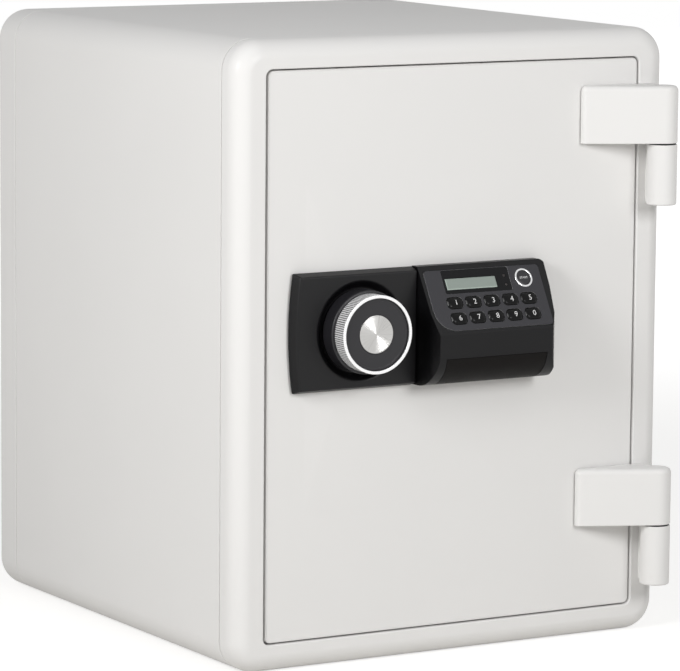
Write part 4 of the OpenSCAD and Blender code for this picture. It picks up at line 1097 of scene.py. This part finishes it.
class SAFE_OT_keys(bpy.types.Operator):
    """The ten keys, each with its printed digit"""
    bl_idname = "safe.keys"
    bl_label = "Keys"

    width, height, end_round = 14.6, 9.8, 3.1
    first, pitch, row_pitch, digit_shift = (-15.6, -30.4), 17.8, 13.7, 0.6

    def execute(self, context):
        """A key's ends are drawn in before its middle, so that its crown is an oval.

        From the middle to the edge, the crown falls by the dome times the distance to the power 2.2."""
        shape = context.scene.safe_keypad
        dome, lift, foot, flange = shape.dome / MM, 1.4, -3.3, -2.1
        rows = np.linspace(1, 0, 12)
        crown = np.stack([1.0 + (self.height / 2 - 1.0) * (1 - rows), lift - dome * rows ** 2.2], 1)
        side = softened([
            (-1, foot, 0.1), (-1, flange, 0.3), (0, flange, 0.1), (0, lift - dome - 1.1, 0.5),
            (1.0, lift - dome, 0)], 6, closed=False)
        section = np.vstack([[(self.height / 2, foot)], side, crown[1:]])
        outline = rounded(self.width, self.height, self.end_round, 9, 0.3)
        for index, digit in enumerate("1234567890"):
            node = "key_" + digit
            across = self.first[0] + self.pitch * (index % 5)
            up = self.first[1] - self.row_pitch * (index // 5)
            piece("cap_" + node, carried(section, outline, on_face(across, up), KEY_FACE), node, smooth=40)
            place = on_face(across + self.digit_shift, up, lift - 0.02)
            printed("digit_" + node, digit, shape.digit / MM, place, node, 0.14)
        return {"FINISHED"}


class SAFE_OT_power(bpy.types.Operator):
    """Key mat, circuit board, batteries and their tray"""
    bl_idname = "safe.power"
    bl_label = "Power and board"

    def execute(self, context):
        softened_copy("key_mat", 0.2, 2)
        softened_copy("keypad_board", 0.15, 1)
        softened_copy("battery_tray", 0.4, 2)
        (start, _, low), (_, _, high) = corners("batteries")
        radius, contact, shoulder, tip, form = 7.1, 2.7, 48.8, CELL_LENGTH - 0.05, Form()
        profile = softened([
            (0, 0, 0), (4.2, 0, 0.2), (4.4, 0.3, 0.2), (radius, 0.3, 0.7), (radius, shoulder, 0.7),
            (3.4, shoulder, 0.1), (contact, shoulder, 0.1), (contact, tip, 0.4), (0, tip, 0)], closed=False)
        for x in (start, start + CELL_LENGTH):
            for z in (low + radius, high - radius):
                turned(profile, np.array([x, middle("batteries")[1], z]), SIDEWAYS, 48, form=form)
        piece("cells", form, "batteries", smooth=40)
        return {"FINISHED"}


class SAFE_OT_stage(bpy.types.Operator):
    """Pale floor, soft studio lights, white surroundings and the camera"""
    bl_idname = "safe.stage"
    bl_label = "Stage"

    front_lamp, side_lamp, lamp_size = (0.2, -1.68, 0.915), (-1.55, -0.72, 0.95), 0.55
    eye, aim = (-1.806739, -3.103314, 0.746972), (0, 0, 0.26)
    right, ahead = (0.86244, -0.50609, 0.00826), (0.50209, 0.85333, -0.14047)
    floor_span, floor_colour, floor_glow, white = 6.0, (0.77, 0.755, 0.725), 1.75, (1, 1, 1)

    def execute(self, context):
        scene, settings = context.scene, context.scene.safe_stage
        scene.view_settings.view_transform = "Standard"
        self.floor()
        scene.world = self.surroundings(settings.sky)
        self.light("Front light", self.front_lamp, settings.key_light)
        self.light("Side light", self.side_lamp, settings.side_light)
        scene.camera = self.camera(settings.focal_length)
        return {"FINISHED"}

    def floor(self):
        """A wide pale sheet, which to the camera is white with the object's soft shadow."""
        mesh = bpy.data.meshes.new("floor")
        far = self.floor_span
        mesh.from_pydata([(-far, -far, 0), (far, -far, 0), (far, far, 0), (-far, far, 0)], [], [(0, 1, 2, 3)])
        sheet = linked("floor", mesh)
        paint = Finish("safe_floor")
        paint.set(Base_Color=paint.tone(self.floor_colour, paint.noise(400), 0.01), Roughness=0.8)
        glow = paint.node("ShaderNodeEmission", {}, {"Color": self.white, "Strength": self.floor_glow})
        reach = paint.vector("LENGTH", paint.place, output="Value")
        share = paint.seen() * reach.above(1.5, 0.7).spread(0.4, 0.57)
        blend = paint.node("ShaderNodeMixShader", {}, {0: share, 1: paint.surface, 2: glow})
        paint.feed(paint.output.inputs["Surface"], blend)
        mesh.materials.append(paint.material)

    def surroundings(self, strength):
        """White to the camera, in reflections and through glass, and a gentle even light elsewhere."""
        world = bpy.data.worlds.new("studio")
        room = Nodes(world)
        level = room.seen().spread(strength, 1.0)
        shade = room.node("ShaderNodeBackground", {}, {"Color": self.white, "Strength": level})
        room.node("ShaderNodeOutputWorld", {}, {"Surface": shade}, None)
        return world

    def light(self, name, place, power):
        """A soft square light that points at the object."""
        lamp_data = bpy.data.lights.new(name, "AREA")
        lamp_data.shape = "RECTANGLE"
        lamp_data.size = lamp_data.size_y = self.lamp_size
        lamp_data.energy = power
        place = Vector(place)
        turn = (Vector(self.aim) - place).to_track_quat("-Z", "Y")
        linked(name, lamp_data).matrix_world = Matrix.LocRotScale(place, turn, None)

    def camera(self, focal_length):
        """The camera stands where the photograph's perspective puts it."""
        ahead = Vector(self.ahead).normalized()
        up = Vector(self.right).normalized().cross(ahead).normalized()
        data = bpy.data.cameras.new("camera")
        data.sensor_fit = "HORIZONTAL"
        data.sensor_width = 36
        data.lens = focal_length
        data.clip_start, data.clip_end = 0.05, 50
        camera = linked("camera", data)
        turn = Matrix((ahead.cross(up), up, -ahead)).transposed().to_4x4()
        camera.matrix_world = Matrix.Translation(self.eye) @ turn
        return camera


OPERATORS = (SAFE_OT_body, SAFE_OT_store_room, SAFE_OT_hinges, SAFE_OT_door, SAFE_OT_boltwork, SAFE_OT_knob,
             SAFE_OT_mouldings, SAFE_OT_key_face, SAFE_OT_keys, SAFE_OT_power, SAFE_OT_stage)
GROUPS = (("safe_paint", SafePaint), ("safe_knob", SafeKnob), ("safe_keypad", SafeKeypad),
          ("safe_stage", SafeStage))


class SAFE_PT_panel(bpy.types.Panel):
    """The safe's settings and the buttons that make its pieces"""
    bl_label = "Electronic Safe"
    bl_idname = "SAFE_PT_panel"
    bl_space_type = "VIEW_3D"
    bl_region_type = "UI"
    bl_category = "Safe"

    def draw(self, context):
        for name, group in GROUPS:
            settings = getattr(context.scene, name)
            box = self.layout.box()
            for field in group.__annotations__:
                box.prop(settings, field)
        for operator in OPERATORS:
            self.layout.operator(operator.bl_idname)


def register():
    for name, group in GROUPS:
        bpy.utils.register_class(group)
        setattr(bpy.types.Scene, name, PointerProperty(type=group))
    for kind in OPERATORS + (SAFE_PT_panel,):
        bpy.utils.register_class(kind)


def unregister():
    for kind in (SAFE_PT_panel,) + OPERATORS[::-1]:
        bpy.utils.unregister_class(kind)
    for name, group in GROUPS[::-1]:
        delattr(bpy.types.Scene, name)
        bpy.utils.unregister_class(group)


def main():
    """Registers the add-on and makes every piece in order."""
    register()
    for operator in OPERATORS:
        family, name = operator.bl_idname.split(".")
        getattr(getattr(bpy.ops, family), name)()
    bpy.context.view_layer.update()


if __name__ == "__main__":
    main()
